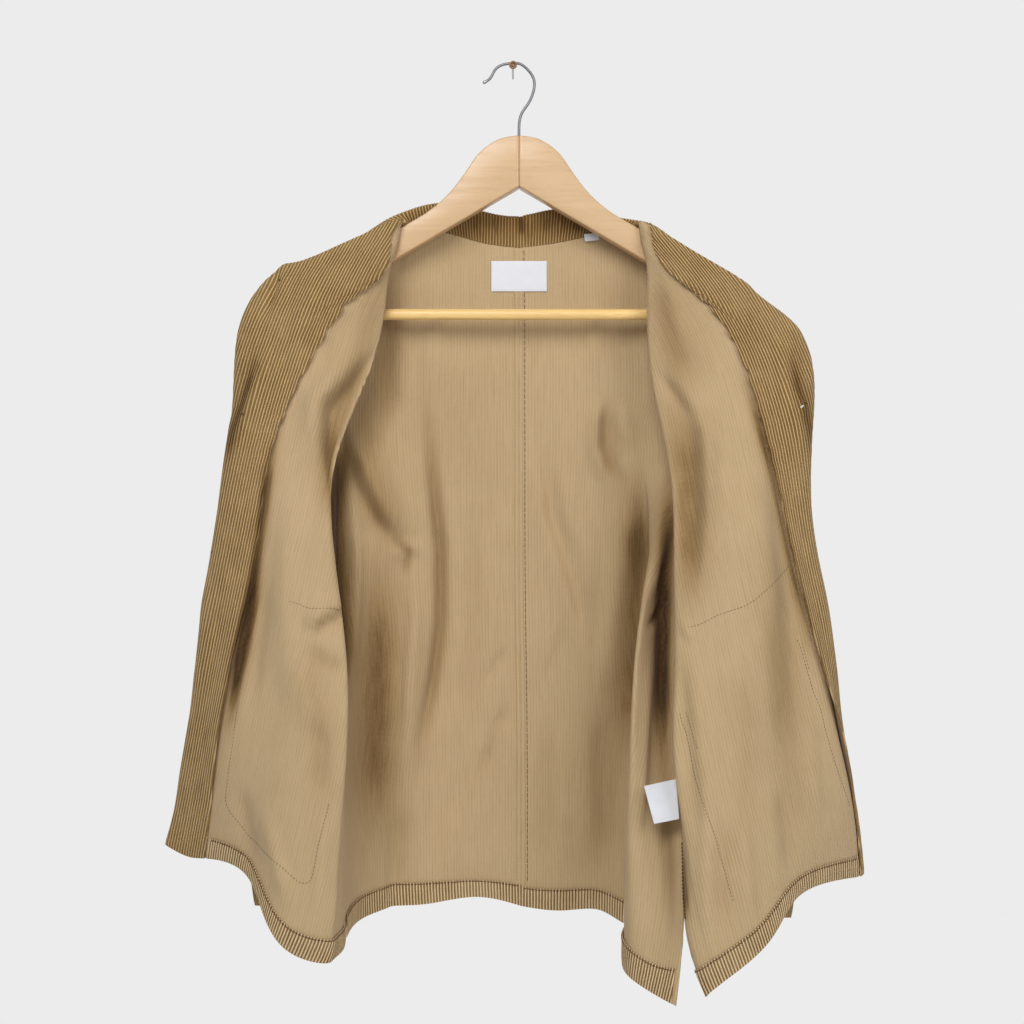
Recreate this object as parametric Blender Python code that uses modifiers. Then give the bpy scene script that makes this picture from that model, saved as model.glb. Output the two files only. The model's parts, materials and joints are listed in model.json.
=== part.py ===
"""A corduroy jacket, hung wide open on a wooden hanger from a peg.

Metres, +Z up, +X to the right of someone who faces the open front, +Y away from them. The origin is
the peg's axis, where the hook sits. Right and left in a name are the wearer's.

The section tables give each point as (across, drop, forward) in millimetres, read off a front
elevation drawn in perspective from EYE_DISTANCE: across from the peg, drop below it, and forward of
the hanger's middle plane. place() takes the perspective out and gives the true position.
"""

import math
from collections import namedtuple

import bmesh
import bpy
import numpy as np
from mathutils import Matrix, Vector

MM = 0.001

# Elevation
EYE_DISTANCE = 1700.0
EYE_ACROSS = -1.0
EYE_DROP = 446.0

# Cloth
WALL = 1.6
SEAM_GAP = 0.3
LAYER_STEP = WALL + 0.5
FACING_STEP = WALL + 0.8
HEM_HEIGHT = 22.0
FACING_LIFT = 5.0
BACK_SEAM_LIFT = 1.65
FRONT_SEAM_LIFT = 1.8
CUFF_GAP = 0.5
SLEEVE_SEAM_GAP = 1.2
COLLAR_ROLL_DROP = 1.5
COLLAR_RISE_LEAN = 1.0
COLLAR_FALL_BULGE = np.array((0.0, 6.0, 3.0))
# The width of a column beside the middle of the back and beside a front's side seam.
SEAM_COLUMN = 38.0

# Hanger
HANGER_MIDDLE = 6.0
ARM_THICKNESS = 18.0
ARM_ROUNDING = 4.5
BAR_DIAMETER = 11.0
BAR_DROP = 248.5
BAR_HALF_LENGTH = 201.9
WIRE_DIAMETER = 2.8
PEG_SHANK_DIAMETER = 2.2
PEG_HEAD_DIAMETER = 8.0
PEG_HEAD_THICKNESS = 2.4
PEG_HEAD_FRONT = 5.4
WALL_PLANE = 50.0

# Trimmings
BUTTON_DIAMETER = 20.0
BUTTON_THICKNESS = 3.2
BUTTON_SHANK = 0.6
BUTTON_PITCH = 142.0
BUTTON_COUNT = 4
FIRST_BUTTON_DROP = 15.0
BUTTON_SETBACK = 26.0
NECK_LABEL = (55.0, 31.0)
NECK_LABEL_ROW = 1.97
NECK_LABEL_ROW_HEIGHT = 57.0
LABEL_THICKNESS = 0.8
LABEL_CLEARANCE = 0.5

Front = namedtuple("Front", "name side under bend hinge mid fall face ridge brow tuck")
RightBack = namedtuple("RightBack", "name centre inner blade neck outer shelf wing side")
LeftBack = namedtuple("LeftBack", "name centre inner blade neck valley shelf crest dip side")
Sleeve = namedtuple("Sleeve", "name outer inner half_depth forward")
Collar = namedtuple("Collar", "name panel column roll leaf over")

# The wearer's right front, swung out to -X: a row for each section, from the shoulder to the hem.
RIGHT_FRONT = (
    Front("shoulder", (-214, 223, 0.8) , (-161, 191, 0.8) , (-121, 164.6, 2.6)   , (-111, 158, 3)  ,
          (-111, 156, 10) , (-113, 156, 13) , (-117, 156, 16), (-209, 196, 31), (-226, 200, 27)  , 12),
    Front("lap"     , (-214, 231, 12.5), (-161, 199, 12.5), (-123.4, 175.8, 12.9), (-114, 170, 13) ,
          (-115, 171, 17) , (-118, 173, 20) , (-122, 173, 22), (-217, 208, 35), (-235, 207, 29)  , 14),
    Front("neck"    , (-211, 264, 15)  , (-163, 230, 14)  , (-130.2, 203.6, 15.6), (-122, 197, 16) ,
          (-123, 198, 20) , (-125, 199, 23) , (-127, 200, 26), (-230, 225, 38), (-248, 220, 29)  , 15),
    Front("chest"   , (-208, 310, 14)  , (-167, 279, 14)  , (-136.6, 252.6, 18.8), (-129, 246, 20) ,
          (-139, 243, 27) , (-151, 240, 32) , (-164, 236, 36), (-250, 263, 44), (-269, 256, 30)  , 14),
    Front("armhole" , (-202, 362, 13)  , (-173, 334, 18)  , (-153, 319.6, 26.8)  , (-148, 316, 29) ,
          (-173, 314, 40) , (-191, 312, 44) , (-210, 310, 46), (-256, 320, 46), (-276.5, 317, 30), 12),
    Front("underarm", (-193, 408, 17)  , (-185, 408, 34)  , (-181.8, 408, 51.6)  , (-181, 408, 56) ,
          (-198, 402, 60) , (-219, 394, 60) , (-240, 386, 57), (-268, 389, 50), (-284.5, 384, 34), 8),
    Front("rib"     , (-186, 500, 36)  , (-183, 501, 55)  , (-179, 501, 71.8)    , (-178, 501, 76) ,
          (-199, 496, 82) , (-224, 484, 78) , (-251, 470, 68), (-279, 465, 58), (-294.5, 459, 38), 13),
    Front("waist"   , (-176, 598, 50)  , (-171, 598, 72)  , (-167.8, 598, 89.6)  , (-167, 598, 94) ,
          (-195, 596, 100), (-231, 572, 88) , (-266, 548, 73), (-291, 542, 60), (-306, 535, 40)  , 14),
    Front("pocket"  , (-171, 698, 62)  , (-169, 699, 86)  , (-168.2, 699, 105.2) , (-168, 699, 110),
          (-205, 696, 116), (-245, 656, 96) , (-283, 626, 76), (-302, 621, 61), (-315, 617, 41)  , 14),
    Front("low"     , (-170, 796, 74)  , (-171, 800, 98)  , (-175, 801.6, 115.6) , (-176, 802, 120),
          (-216, 792, 126), (-257, 740, 102), (-296, 708, 73), (-313, 702, 56), (-328.5, 698, 36), 12),
    Front("vent"    , (-170, 838, 79)  , (-172, 845, 103) , (-177.6, 850.6, 119) , (-179, 852, 123),
          (-220, 842, 129), (-260, 780, 101), (-302, 754, 68), (-320, 749, 50), (-335.5, 743, 31), 10),
    Front("hem"     , (-170, 875, 84)  , (-174, 886, 106) , (-182.8, 894, 120.4) , (-185, 896, 124),
          (-227, 883, 130), (-264, 810, 98) , (-307, 792, 62), (-326, 789, 44), (-345, 779, 26)  , 8),
)

# The wearer's left front, swung out to +X.
LEFT_FRONT = (
    Front("shoulder", (226, 223, 0.8) , (173, 191, 0.8) , (135.4, 164.6, 2.6)  , (126, 158, 3)  ,
          (127, 156, 10) , (130, 156, 13) , (135, 159, 16), (209, 204, 31), (227, 216.5, 27), 12),
    Front("lap"     , (226, 231, 12.5), (173, 199, 12.5), (136.2, 175, 12.9)   , (127, 169, 13) ,
          (129, 170, 17) , (133, 173, 20) , (139, 175, 22), (220, 218, 35), (239, 227, 29)  , 14),
    Front("neck"    , (223, 264, 15)  , (177, 230, 14)  , (141, 197.2, 15.6)   , (132, 189, 16) ,
          (135, 191, 20) , (140, 193, 24) , (147, 196, 27), (238, 240, 40), (256, 241, 30)  , 15),
    Front("chest"   , (220, 310, 14)  , (178, 279, 14)  , (142.8, 247, 18.8)   , (134, 239, 20) ,
          (150, 238, 28) , (170, 236, 34) , (191, 236, 38), (269, 276, 46), (285.5, 268, 32), 14),
    Front("armhole" , (214, 362, 13)  , (179, 336, 20)  , (147.8, 320, 28)     , (140, 316, 30) ,
          (170, 311, 42) , (201, 306, 47) , (232, 303, 48), (281, 320, 48), (298, 315, 31)  , 12),
    Front("underarm", (199, 406, 21)  , (177, 408, 34)  , (161.8, 408, 53.2)   , (158, 408, 58) ,
          (189, 402, 64) , (222, 394, 64) , (254, 388, 59), (282, 386, 50), (295.5, 384, 34), 10),
    Front("rib"     , (173, 502, 43)  , (165, 502, 63)  , (162.6, 502, 79.8)   , (162, 502, 84) ,
          (203, 492, 88) , (242, 482, 82) , (276, 478, 69), (288, 467, 57), (298.5, 462, 38), 13),
    Front("waist"   , (170, 596, 54)  , (165, 597, 78)  , (163.4, 598.6, 97.2) , (163, 599, 102),
          (211, 586, 108), (255, 570, 94) , (295, 556, 73), (303, 546, 60), (312, 540, 40)  , 14),
    Front("pocket"  , (167, 692, 76)  , (163, 694, 96)  , (162.2, 695.6, 112)  , (162, 696, 116),
          (217, 682, 122), (269, 654, 101), (314, 632, 75), (317, 624, 61), (321.5, 618, 41), 13),
    Front("low"     , (171, 784, 106) , (172, 787, 122) , (175.2, 790.2, 131.6), (176, 791, 134),
          (227, 772, 138), (285, 736, 110), (333, 709, 72), (331, 703, 58), (333, 699, 39)  , 11),
    Front("vent"    , (174, 868, 132) , (177, 870, 142) , (186.6, 865.2, 146)  , (189, 864, 147),
          (240, 830, 142), (287, 786, 111), (342, 763, 64), (341, 757, 52), (342, 752, 37)  , 9),
    Front("hem"     , (193, 931, 150) , (199, 925, 152) , (208.6, 917, 152.8)  , (211, 915, 153),
          (253, 878, 143), (286, 828, 110), (345, 810, 56), (347, 809, 46), (348, 808, 33)  , 8),
)

# The right half of the back, from the centre seam to the armhole and side seam.
RIGHT_BACK = (
    RightBack("shoulder", (6, 182, -24)  , (-31, 177, -22)  , (-67, 167, -16), (-101, 160, -12.8),
              (-109, 158, -1.6) , (-119, 164.5, -2) , (-161, 191, -1.4) , (-214, 223, -0.9)),
    RightBack("lap"     , (6, 197, -25)  , (-31, 191, -24)  , (-67, 183, -20), (-101, 174, -14.5),
              (-109, 170, -12.5), (-119, 175, -12.5), (-161, 199, -12.5), (-214, 232, -12.5)),
    RightBack("neck"    , (6, 254, -26)  , (-32, 254, -26)  , (-70, 254, -25), (-101, 253, -24)  ,
              (-114, 252, -23)  , (-123, 253, -23)  , (-161, 258, -21)  , (-211, 264, -18)),
    RightBack("chest"   , (6, 322, -28)  , (-32, 322, -27)  , (-72, 322, -26), (-101, 322, -24)  ,
              (-114, 322, -23)  , (-123, 322, -22)  , (-159, 320, -20)  , (-208, 310, -17)),
    RightBack("armhole" , (6, 374, -29)  , (-32, 374, -28)  , (-72, 374, -26), (-101, 374, -22)  ,
              (-113, 374, -20)  , (-121, 374, -19)  , (-155, 372, -15)  , (-202, 362, -12)),
    RightBack("underarm", (6, 422, -30)  , (-32, 422, -28)  , (-72, 422, -25), (-100, 422, -19)  ,
              (-112, 422, -17)  , (-120, 422, -15)  , (-151, 420, -7)   , (-193, 408, 8)),
    RightBack("rib"     , (6, 504, -30)  , (-32, 504, -28)  , (-73, 504, -23), (-101, 504, -19)  ,
              (-113, 504, -17)  , (-121, 504, -14)  , (-152, 504, -2)   , (-186, 500, 29)),
    RightBack("waist"   , (7, 589, -30)  , (-31, 589, -28)  , (-73, 589, -24), (-100, 589, -20)  ,
              (-112, 589, -19)  , (-119, 589, -16)  , (-149, 590, -4)   , (-176, 598, 47)),
    RightBack("pocket"  , (8, 674, -30)  , (-31, 674, -28)  , (-75, 674, -24), (-103, 675, -20)  ,
              (-115, 675, -19)  , (-122, 676, -16)  , (-149, 678, -2)   , (-171, 698, 59)),
    RightBack("low"     , (8, 759, -30)  , (-33, 758, -28)  , (-79, 758, -24), (-108, 759, -19)  ,
              (-120, 760, -17)  , (-126, 762, -13)  , (-150, 768, 4)    , (-170, 796, 71)),
    RightBack("vent"    , (8, 802, -30)  , (-35, 800, -28)  , (-81, 799, -24), (-110, 800, -18)  ,
              (-122, 801, -16)  , (-128, 803, -11)  , (-150, 811, 7)    , (-170, 838, 76)),
    RightBack("hem"     , (8, 839.5, -29), (-37, 830.5, -27), (-83, 837, -23), (-111, 839, -17)  ,
              (-123, 840, -14)  , (-128, 842, -9)   , (-150, 851, 10)   , (-170, 875, 81)),
)

# The left half of the back. Its side folds forward over a valley and faces the front.
LEFT_BACK = (
    LeftBack("shoulder", (6, 182, -24)  , (38, 178, -22), (79, 170, -16)  , (116, 161, -12.8),
             (125, 158, -1.6) , (133, 163.5, -2)   , (157, 180.5, -1.6) , (192, 202.5, -1.3) ,
             (226, 223, -0.9)),
    LeftBack("lap"     , (6, 197, -25)  , (39, 192, -24), (80, 185, -20)  , (116, 174, -14.5),
             (125, 170, -12.5), (133, 174.5, -12.5), (157, 188.5, -12.5), (192, 210.5, -12.5),
             (226, 232, -12.5)),
    LeftBack("neck"    , (6, 254, -26)  , (43, 254, -26), (84, 254, -25)  , (115, 254, -24)  ,
             (128, 254, -23)  , (136, 255, -22)    , (161, 257, -21)    , (193, 261, -19)    ,
             (223, 264, -18)),
    LeftBack("chest"   , (6, 322, -28)  , (43, 322, -27), (85, 322, -26)  , (115, 322, -23)  ,
             (128, 322, -22)  , (136, 322, -21)    , (159, 322, -19)    , (191, 318, -17)    ,
             (220, 310, -17)),
    LeftBack("armhole" , (6, 374, -29)  , (44, 374, -28), (87, 374, -24)  , (114, 374, -17)  ,
             (126, 374, -14)  , (133, 374, -13)    , (155, 375, -9)     , (187, 372, -9)     ,
             (214, 362, -12)),
    LeftBack("underarm", (6, 422, -30)  , (45, 422, -28), (88, 422, -21)  , (117, 421, -10)  ,
             (129, 421, -6)   , (135, 420, -2)     , (155, 418, 12)     , (179, 414, 11)     ,
             (199, 406, 12)),
    LeftBack("rib"     , (6, 504, -30)  , (46, 504, -28), (91, 504, -22)  , (123, 504, -9)   ,
             (137, 504, -3)   , (137, 504, 8)      , (137, 506, 40)     , (152, 506, 28)     ,
             (173, 502, 34)),
    LeftBack("waist"   , (7, 589, -30)  , (47, 589, -28), (91, 589, -23)  , (122, 590, -10)  ,
             (135, 591, -4)   , (132, 592, 12)     , (124, 594, 58)     , (145, 595, 42)     ,
             (170, 596, 51)),
    LeftBack("pocket"  , (8, 674, -30)  , (48, 674, -28), (89, 675, -23)  , (118, 679, -10)  ,
             (131, 681, -4)   , (128, 683, 16)     , (120, 690, 76)     , (143, 694, 62)     ,
             (167, 692, 73)),
    LeftBack("low"     , (8, 759, -30)  , (49, 759, -28), (87, 760, -22)  , (115, 767, -8)   ,
             (127, 770, -2)   , (125, 775, 22)     , (117, 790, 92)     , (144, 800, 96)     ,
             (170, 784, 103)),
    LeftBack("vent"    , (8, 802, -30)  , (49, 803, -28), (87, 804, -21)  , (114, 814, -6)   ,
             (125, 818, 0)    , (123, 826, 25)     , (116, 852, 100)    , (142, 870, 114)    ,
             (170, 868, 129)),
    LeftBack("hem"     , (8, 839.5, -29), (50, 844, -27), (87, 843.5, -20), (112, 857, -5)   ,
             (123, 862.5, 2)  , (121, 874, 28)     , (115, 907, 106)    , (138, 926, 130)    ,
             (163, 940, 150)),
)

# The right sleeve: the ends of each section's long axis, half its depth and how far forward it lies.
SLEEVE = (
    Sleeve("cap"  , (-243, 241), (-198, 420), 22, -3),
    Sleeve("head" , (-258, 286), (-193, 439), 31, -3),
    Sleeve("bicep", (-266, 364), (-187, 468), 38, -5),
    Sleeve("upper", (-271, 464), (-185, 516), 40, -6),
    Sleeve("elbow", (-275, 574), (-182, 598), 38, -6),
    Sleeve("fore" , (-273, 679), (-179, 689), 34, -5),
    Sleeve("wrist", (-267, 772), (-177, 774), 29, -3),
)

# The left sleeve is the right one mirrored, and by its cuff it is this much further out and lower.
LEFT_SLEEVE_SPLAY = 8.0
LEFT_SLEEVE_DROP = 12.0
CUFF_DROPS = (0.0, 34.0, 67.0)
CUFF_OUTER_SLOPE = 0.14
CUFF_FULLNESS = 1.0

# The collar, from the right front's point round the neck to the left's.
COLLAR = (
    Collar("right point"   , "right front", 7.75, (-219, 200.5, 12), (-216, 239, -27), 24),
    Collar("right front"   , "right front", 7.0 , (-210, 195.5, 11), (-211, 236, -32), 22),
    Collar("right shoulder", "right front", 6.5 , (-163, 177, 7)   , (-169, 218, -35), 20),
    Collar("right corner"  , "right back" , 4.0 , (-127, 155, -1)  , (-135, 198, -37), 14),
    Collar("right neck"    , "right back" , 3.0 , (-106, 146, -8)  , (-113, 191, -39), 10),
    Collar("right back"    , "right back" , 2.0 , (-72, 138, -15)  , (-75, 198, -42) , 8),
    Collar("right inner"   , "right back" , 1.0 , (-31, 146, -20)  , (-32, 205, -45) , 8),
    Collar("centre"        , "right back" , 0.0 , (6, 151, -22)    , (6, 206, -46)   , 8),
    Collar("left inner"    , "left back"  , 1.0 , (40, 144.5, -20) , (39, 205, -45)  , 8),
    Collar("left back"     , "left back"  , 2.0 , (84, 149, -15)   , (85, 198, -42)  , 8),
    Collar("left neck"     , "left back"  , 3.0 , (121, 155, -8)   , (127, 191, -39) , 10),
    Collar("left corner"   , "left back"  , 4.0 , (138, 158.7, -1) , (148, 199, -37) , 14),
    Collar("left shoulder" , "left front" , 6.5 , (172, 182.5, 7)  , (177, 221, -35) , 20),
    Collar("left front"    , "left front" , 7.0 , (208, 203, 11)   , (214, 241, -32) , 22),
    Collar("left point"    , "left front" , 7.75, (220, 211.3, 12) , (223, 246, -27) , 24),
)

# A section between the first two rounds the cloth over the hanger, at this share of the way across and
# forward, and at its column's own share of the way down.
CROWN_ACROSS = 0.5
CROWN_FORWARD = 0.7
FRONT_CROWN_DOWN = (0, 0, 0, 0, 0.1, 0.2, 0.35, 0.4, 0.4, 0.4)
BACK_CROWN_DOWN = (0.5, 0.5, 0.5, 0.4, 0.25, 0, 0, 0, 0)

# Mesh steps between the columns and between the rows of a table.
FRONT_ACROSS = (1, 2, 1, 2, 2, 1, 2, 2, 1)
BACK_ACROSS = {"right": (2, 2, 2, 1, 1, 2, 3), "left": (2, 2, 2, 1, 1, 2, 3, 2)}
PANEL_DOWN = (1, 1, 1, 2, 2, 2, 2, 2, 2, 2, 2, 1)
SLEEVE_ROUND = 18
NEAREST_STEP = 0.15
FACE_COLUMN = 6.0
EDGE_COLUMN = 9.0
LAST_ROW = 12.0
UNDERARM_ROW = 6.0

# Where each small piece lies on its panel, in the panel's column and row numbers.
TOP_ROW = 0.03
FACING_LOOSE_ROWS = (4.5, 6.5, 9.4, 10.6)
FACING_LOOSE_CURVE = 1.5
SIDE_INSET = 0.15
FACE_INSET = 0.06
HEM_MEASURED_AT = 3.0
POCKET_REGION = (3.6, 5.84, 8.3, 10.7)
CARE_LABEL_CORNERS = ((131, 720, 98), (163.2, 713, 100), (166.2, 753, 116), (141, 758, 112))
SIZE_TAB = ((71, 168, -14.2), (85, 167, -14), (86, 174, -14), (72, 175.5, -14.2))

CORDUROY = ((0.39, 0.24, 0.10), 0.85, 0.0)
REVERSE = ((0.42, 0.31, 0.18), 0.85, 0.0)
WOOD = ((0.73, 0.48, 0.25), 0.45, 0.0)
STEEL = ((0.62, 0.62, 0.62), 0.25, 1.0)
BRASS = ((0.38, 0.25, 0.12), 0.35, 1.0)
WHITE = ((0.82, 0.83, 0.85), 0.7, 0.0)
HORN = ((0.10, 0.055, 0.03), 0.35, 0.0)


# ---------------------------------------------------------------- measuring


def place(point):
    """The true position, in millimetres, of a point of the perspective elevation."""
    across, drop, forward = point
    nearness = 1.0 - forward / EYE_DISTANCE
    return np.array(
        (
            EYE_ACROSS + (across - EYE_ACROSS) * nearness,
            -forward,
            -EYE_DROP - (drop - EYE_DROP) * nearness,
        )
    )


def spline_weights(knots, at):
    """The matrix that turns values at the knots into values of a natural cubic spline at the places `at`."""
    count = len(knots)
    gap = np.diff(knots)
    left_side = np.eye(count)
    right_side = np.zeros((count, count))
    for i in range(1, count - 1):
        left_side[i, i - 1 : i + 2] = gap[i - 1], 2 * (gap[i - 1] + gap[i]), gap[i]
        right_side[i, i - 1 : i + 2] = 6 / gap[i - 1], -6 / gap[i - 1] - 6 / gap[i], 6 / gap[i]
    bend = np.linalg.solve(left_side, right_side)
    span = np.clip(np.searchsorted(knots, at) - 1, 0, count - 2)
    before = at - knots[span]
    after = knots[span + 1] - at
    width = gap[span]
    weights = ((after**3 / width - after * width) / 6)[:, None] * bend[span]
    weights += ((before**3 / width - before * width) / 6)[:, None] * bend[span + 1]
    line = np.arange(len(at))
    weights[line, span] += after / width
    weights[line, span + 1] += before / width
    return weights


def through(points, places):
    """Points at fractional row numbers `places` on a smooth curve through `points`."""
    points = np.asarray(points, float)
    lengths = np.maximum(np.linalg.norm(np.diff(points, axis=0), axis=1), 0.5) ** 0.7
    knots = np.concatenate(([0.0], np.cumsum(lengths)))
    places = np.asarray(places, float)
    whole = np.clip(places.astype(int), 0, len(lengths) - 1)
    at = knots[whole] + (places - whole) * lengths[whole]
    return spline_weights(knots, at) @ points


def steps(counts, first, last, extra=()):
    """Fractional numbers from `first` to `last`, with counts[i] steps between the whole numbers i and i + 1.

    The extra numbers are always among them, and steps too near to one of those are left out.
    """
    kept = [number for number in (first, *extra, last) if first <= number <= last]
    numbers = [i + j / count for i, count in enumerate(counts) for j in range(count)]
    for number in (*numbers, float(len(counts))):
        if first < number < last and min(abs(number - other) for other in kept) > NEAREST_STEP:
            kept.append(number)
    return np.array(sorted(set(kept)))


class Panel:
    """A smooth sheet through a table of sections, read at fractional column and row numbers.

    Its second section is worked out from the first and the next, to round the cloth over the hanger.
    Its grid always has lines at the edges of the pieces that lie on it, so that they fit it face to face.
    """

    def __init__(self, sections, across, crown_down, extra_columns=(), extra_rows=()):
        rows = np.array(sections, float)
        share = np.array([(CROWN_ACROSS, down, CROWN_FORWARD) for down in crown_down[: rows.shape[1]]])
        crown = rows[0] + (rows[1] - rows[0]) * share
        rows = np.concatenate((rows[:1], [crown], rows[1:]))
        self.sections = np.array([[place(point) for point in row] for row in rows])
        self.across = across
        self.down = PANEL_DOWN
        self.extra_columns = extra_columns
        self.extra_rows = (*extra_rows, LAST_ROW - self.rows_in(HEM_HEIGHT, HEM_MEASURED_AT))

    def points(self, columns, rows):
        lines = np.array([through(section, columns) for section in self.sections])
        return np.array([through(lines[:, i], rows) for i in range(len(columns))]).transpose(1, 0, 2)

    def region(self, first_column, last_column, first_row, last_row):
        columns = steps(self.across, first_column, last_column, self.extra_columns)
        rows = steps(self.down, first_row, last_row, self.extra_rows)
        return self.points(columns, rows)

    def rows_in(self, reach, column):
        """How many rows `reach` millimetres are, up from the hem."""
        above, below = self.points([column], [LAST_ROW - 1, LAST_ROW])[:, 0]
        return reach / np.linalg.norm(above - below)


def grid_normals(grid):
    """For each point of a grid, the move that takes all of its faces out by one unit."""
    faces = np.cross(grid[1:, 1:] - grid[:-1, :-1], grid[1:, :-1] - grid[:-1, 1:])
    faces /= np.maximum(np.linalg.norm(faces, axis=2, keepdims=True), 1e-9)
    around = np.pad(faces, ((1, 1), (1, 1), (0, 0)), mode="edge")
    corners = (around[1:, 1:], around[1:, :-1], around[:-1, 1:], around[:-1, :-1])
    normals = sum(corners)
    normals /= np.maximum(np.linalg.norm(normals, axis=2, keepdims=True), 1e-9)
    spread = sum((normals * corner).sum(axis=2, keepdims=True) for corner in corners) / 4
    return normals / np.maximum(spread, 0.6)


def moved_out(grid, distance):
    """The grid moved out by a distance, which may differ from point to point."""
    return grid + grid_normals(grid) * np.broadcast_to(distance, grid.shape[:2])[..., None]


def front_sections(table, inward):
    """The rows of a front, each with the true edge that is tucked back behind its brow."""
    sections = []
    for row in table:
        across, drop, forward = row.brow
        edge = (across + inward * 0.3 * row.tuck, drop + 1, forward - row.tuck)
        sections.append((*row[1:-1], edge))
    return sections


# ---------------------------------------------------------------- modelling


def material(name, look):
    colour, roughness, metallic = look
    made = bpy.data.materials.new(name)
    made.use_nodes = True
    shader = made.node_tree.nodes["Principled BSDF"]
    shader.inputs["Base Color"].default_value = (*colour, 1.0)
    shader.inputs["Roughness"].default_value = roughness
    shader.inputs["Metallic"].default_value = metallic
    made.diffuse_color = (*colour, 1.0)
    return made


def add_object(name, mesh, look):
    made = bpy.data.objects.new(name, mesh)
    mesh.materials.append(material(name, look))
    bpy.data.collections[COLLECTION].objects.link(made)
    return made


def cloth_sheet(name, grid, look, wall=WALL, closed=False):
    """A wall of cloth through a grid of points in millimetres, joined round where `closed` is set."""
    rows, columns = grid.shape[:2]
    shape = bmesh.new()
    points = [[shape.verts.new(point * MM) for point in row] for row in grid]
    around = columns if closed else columns - 1
    for i in range(rows - 1):
        for j in range(around):
            k = (j + 1) % columns
            shape.faces.new((points[i][j], points[i + 1][j], points[i + 1][k], points[i][k]))
    mesh = bpy.data.meshes.new(name)
    shape.to_mesh(mesh)
    shape.free()
    mesh.shade_smooth()
    made = add_object(name, mesh, look)
    thick = made.modifiers.new("wall", "SOLIDIFY")
    thick.thickness = wall * MM
    thick.offset = 0.0
    thick.use_even_offset = not closed
    return made


def wire(name, points, diameter, look, sides=2):
    """A round bar along a list of points."""
    curve = bpy.data.curves.new(name, "CURVE")
    curve.dimensions = "3D"
    curve.bevel_depth = diameter / 2 * MM
    curve.bevel_resolution = sides
    curve.use_fill_caps = True
    line = curve.splines.new("POLY")
    line.points.add(len(points) - 1)
    for spot, point in zip(line.points, points):
        spot.co = (*(point * MM), 1.0)
    return add_object(name, curve, look)


def cylinder(name, diameter, length, look, segments=16):
    """A round bar along Z, centred on its object's origin."""
    shape = bmesh.new()
    bmesh.ops.create_cone(
        shape,
        cap_ends=True,
        segments=segments,
        radius1=diameter / 2 * MM,
        radius2=diameter / 2 * MM,
        depth=length * MM,
    )
    mesh = bpy.data.meshes.new(name)
    shape.to_mesh(mesh)
    shape.free()
    mesh.shade_smooth()
    mesh.set_sharp_from_angle(angle=math.radians(40))
    return add_object(name, mesh, look)


# ---------------------------------------------------------------- hanger

# The top of an arm, from the neck to the tip, and its underside back to the middle: (from the middle, drop).
ARM_TOP = ((0, 71), (18, 74), (31, 81), (42, 91), (51, 104), (61, 118), (73, 132), (94, 149), (116, 162))
ARM_SHOULDER = ((167, 193.5), (203, 216.5), (214, 225), (221, 233), (223, 242), (219, 252), (211, 257), (203, 254))
ARM_UNDER = ((202, 238), (124, 195), (0, 122))
HOOK = (
    (-30, 17), (-23, 12.5), (-18, 4), (-11, -1), (-2, -2.6), (6, -2.4), (14, 3), (21, 14),
    (20, 27), (15, 38), (9, 47), (6.4, 56), (6, 64), (6, 71.8),
)


def hanger_arm(name, side):
    """One wooden half of the hanger: a flat outline, thickened, with its edges rounded."""
    outline = through(ARM_TOP + ARM_SHOULDER, np.linspace(0, len(ARM_TOP + ARM_SHOULDER) - 1, 27))
    outline = np.vstack((outline, ARM_UNDER))
    shape = bmesh.new()
    corners = []
    for out, drop in outline:
        out = max(out, SEAM_GAP / 2)
        corners.append(shape.verts.new(Vector((HANGER_MIDDLE + side * out, ARM_THICKNESS / 2, -drop)) * MM))
    face = shape.faces.new(corners)
    grown = bmesh.ops.extrude_face_region(shape, geom=[face])
    lifted = [item for item in grown["geom"] if isinstance(item, bmesh.types.BMVert)]
    bmesh.ops.translate(shape, verts=lifted, vec=(0, -ARM_THICKNESS * MM, 0))
    bmesh.ops.recalc_face_normals(shape, faces=shape.faces)
    mesh = bpy.data.meshes.new(name)
    shape.to_mesh(mesh)
    shape.free()
    made = add_object(name, mesh, WOOD)
    rounding = made.modifiers.new("rounded edges", "BEVEL")
    rounding.width = ARM_ROUNDING * MM
    rounding.segments = 2
    rounding.limit_method = "ANGLE"
    rounding.angle_limit = math.radians(50)


def hanger():
    hanger_arm("hanger_arm_right", -1)
    hanger_arm("hanger_arm_left", 1)
    bar = cylinder("hanger_bar", BAR_DIAMETER, 2 * BAR_HALF_LENGTH, WOOD)
    bar.rotation_euler = (0, math.radians(90), 0)
    bar.location = Vector((HANGER_MIDDLE, 0, -BAR_DROP)) * MM
    curve = through([(across, 0, -drop) for across, drop in HOOK], np.linspace(0, len(HOOK) - 1, 30))
    wire("hanger_hook", curve, WIRE_DIAMETER, STEEL)
    profile = (
        (WALL_PLANE, PEG_SHANK_DIAMETER),
        (-PEG_HEAD_FRONT + PEG_HEAD_THICKNESS, PEG_SHANK_DIAMETER),
        (-PEG_HEAD_FRONT + PEG_HEAD_THICKNESS, PEG_HEAD_DIAMETER),
        (-PEG_HEAD_FRONT + 0.6, PEG_HEAD_DIAMETER),
        (-PEG_HEAD_FRONT, PEG_HEAD_DIAMETER - 1.6),
    )
    turned("wall_peg", profile, BRASS, 14)


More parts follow.
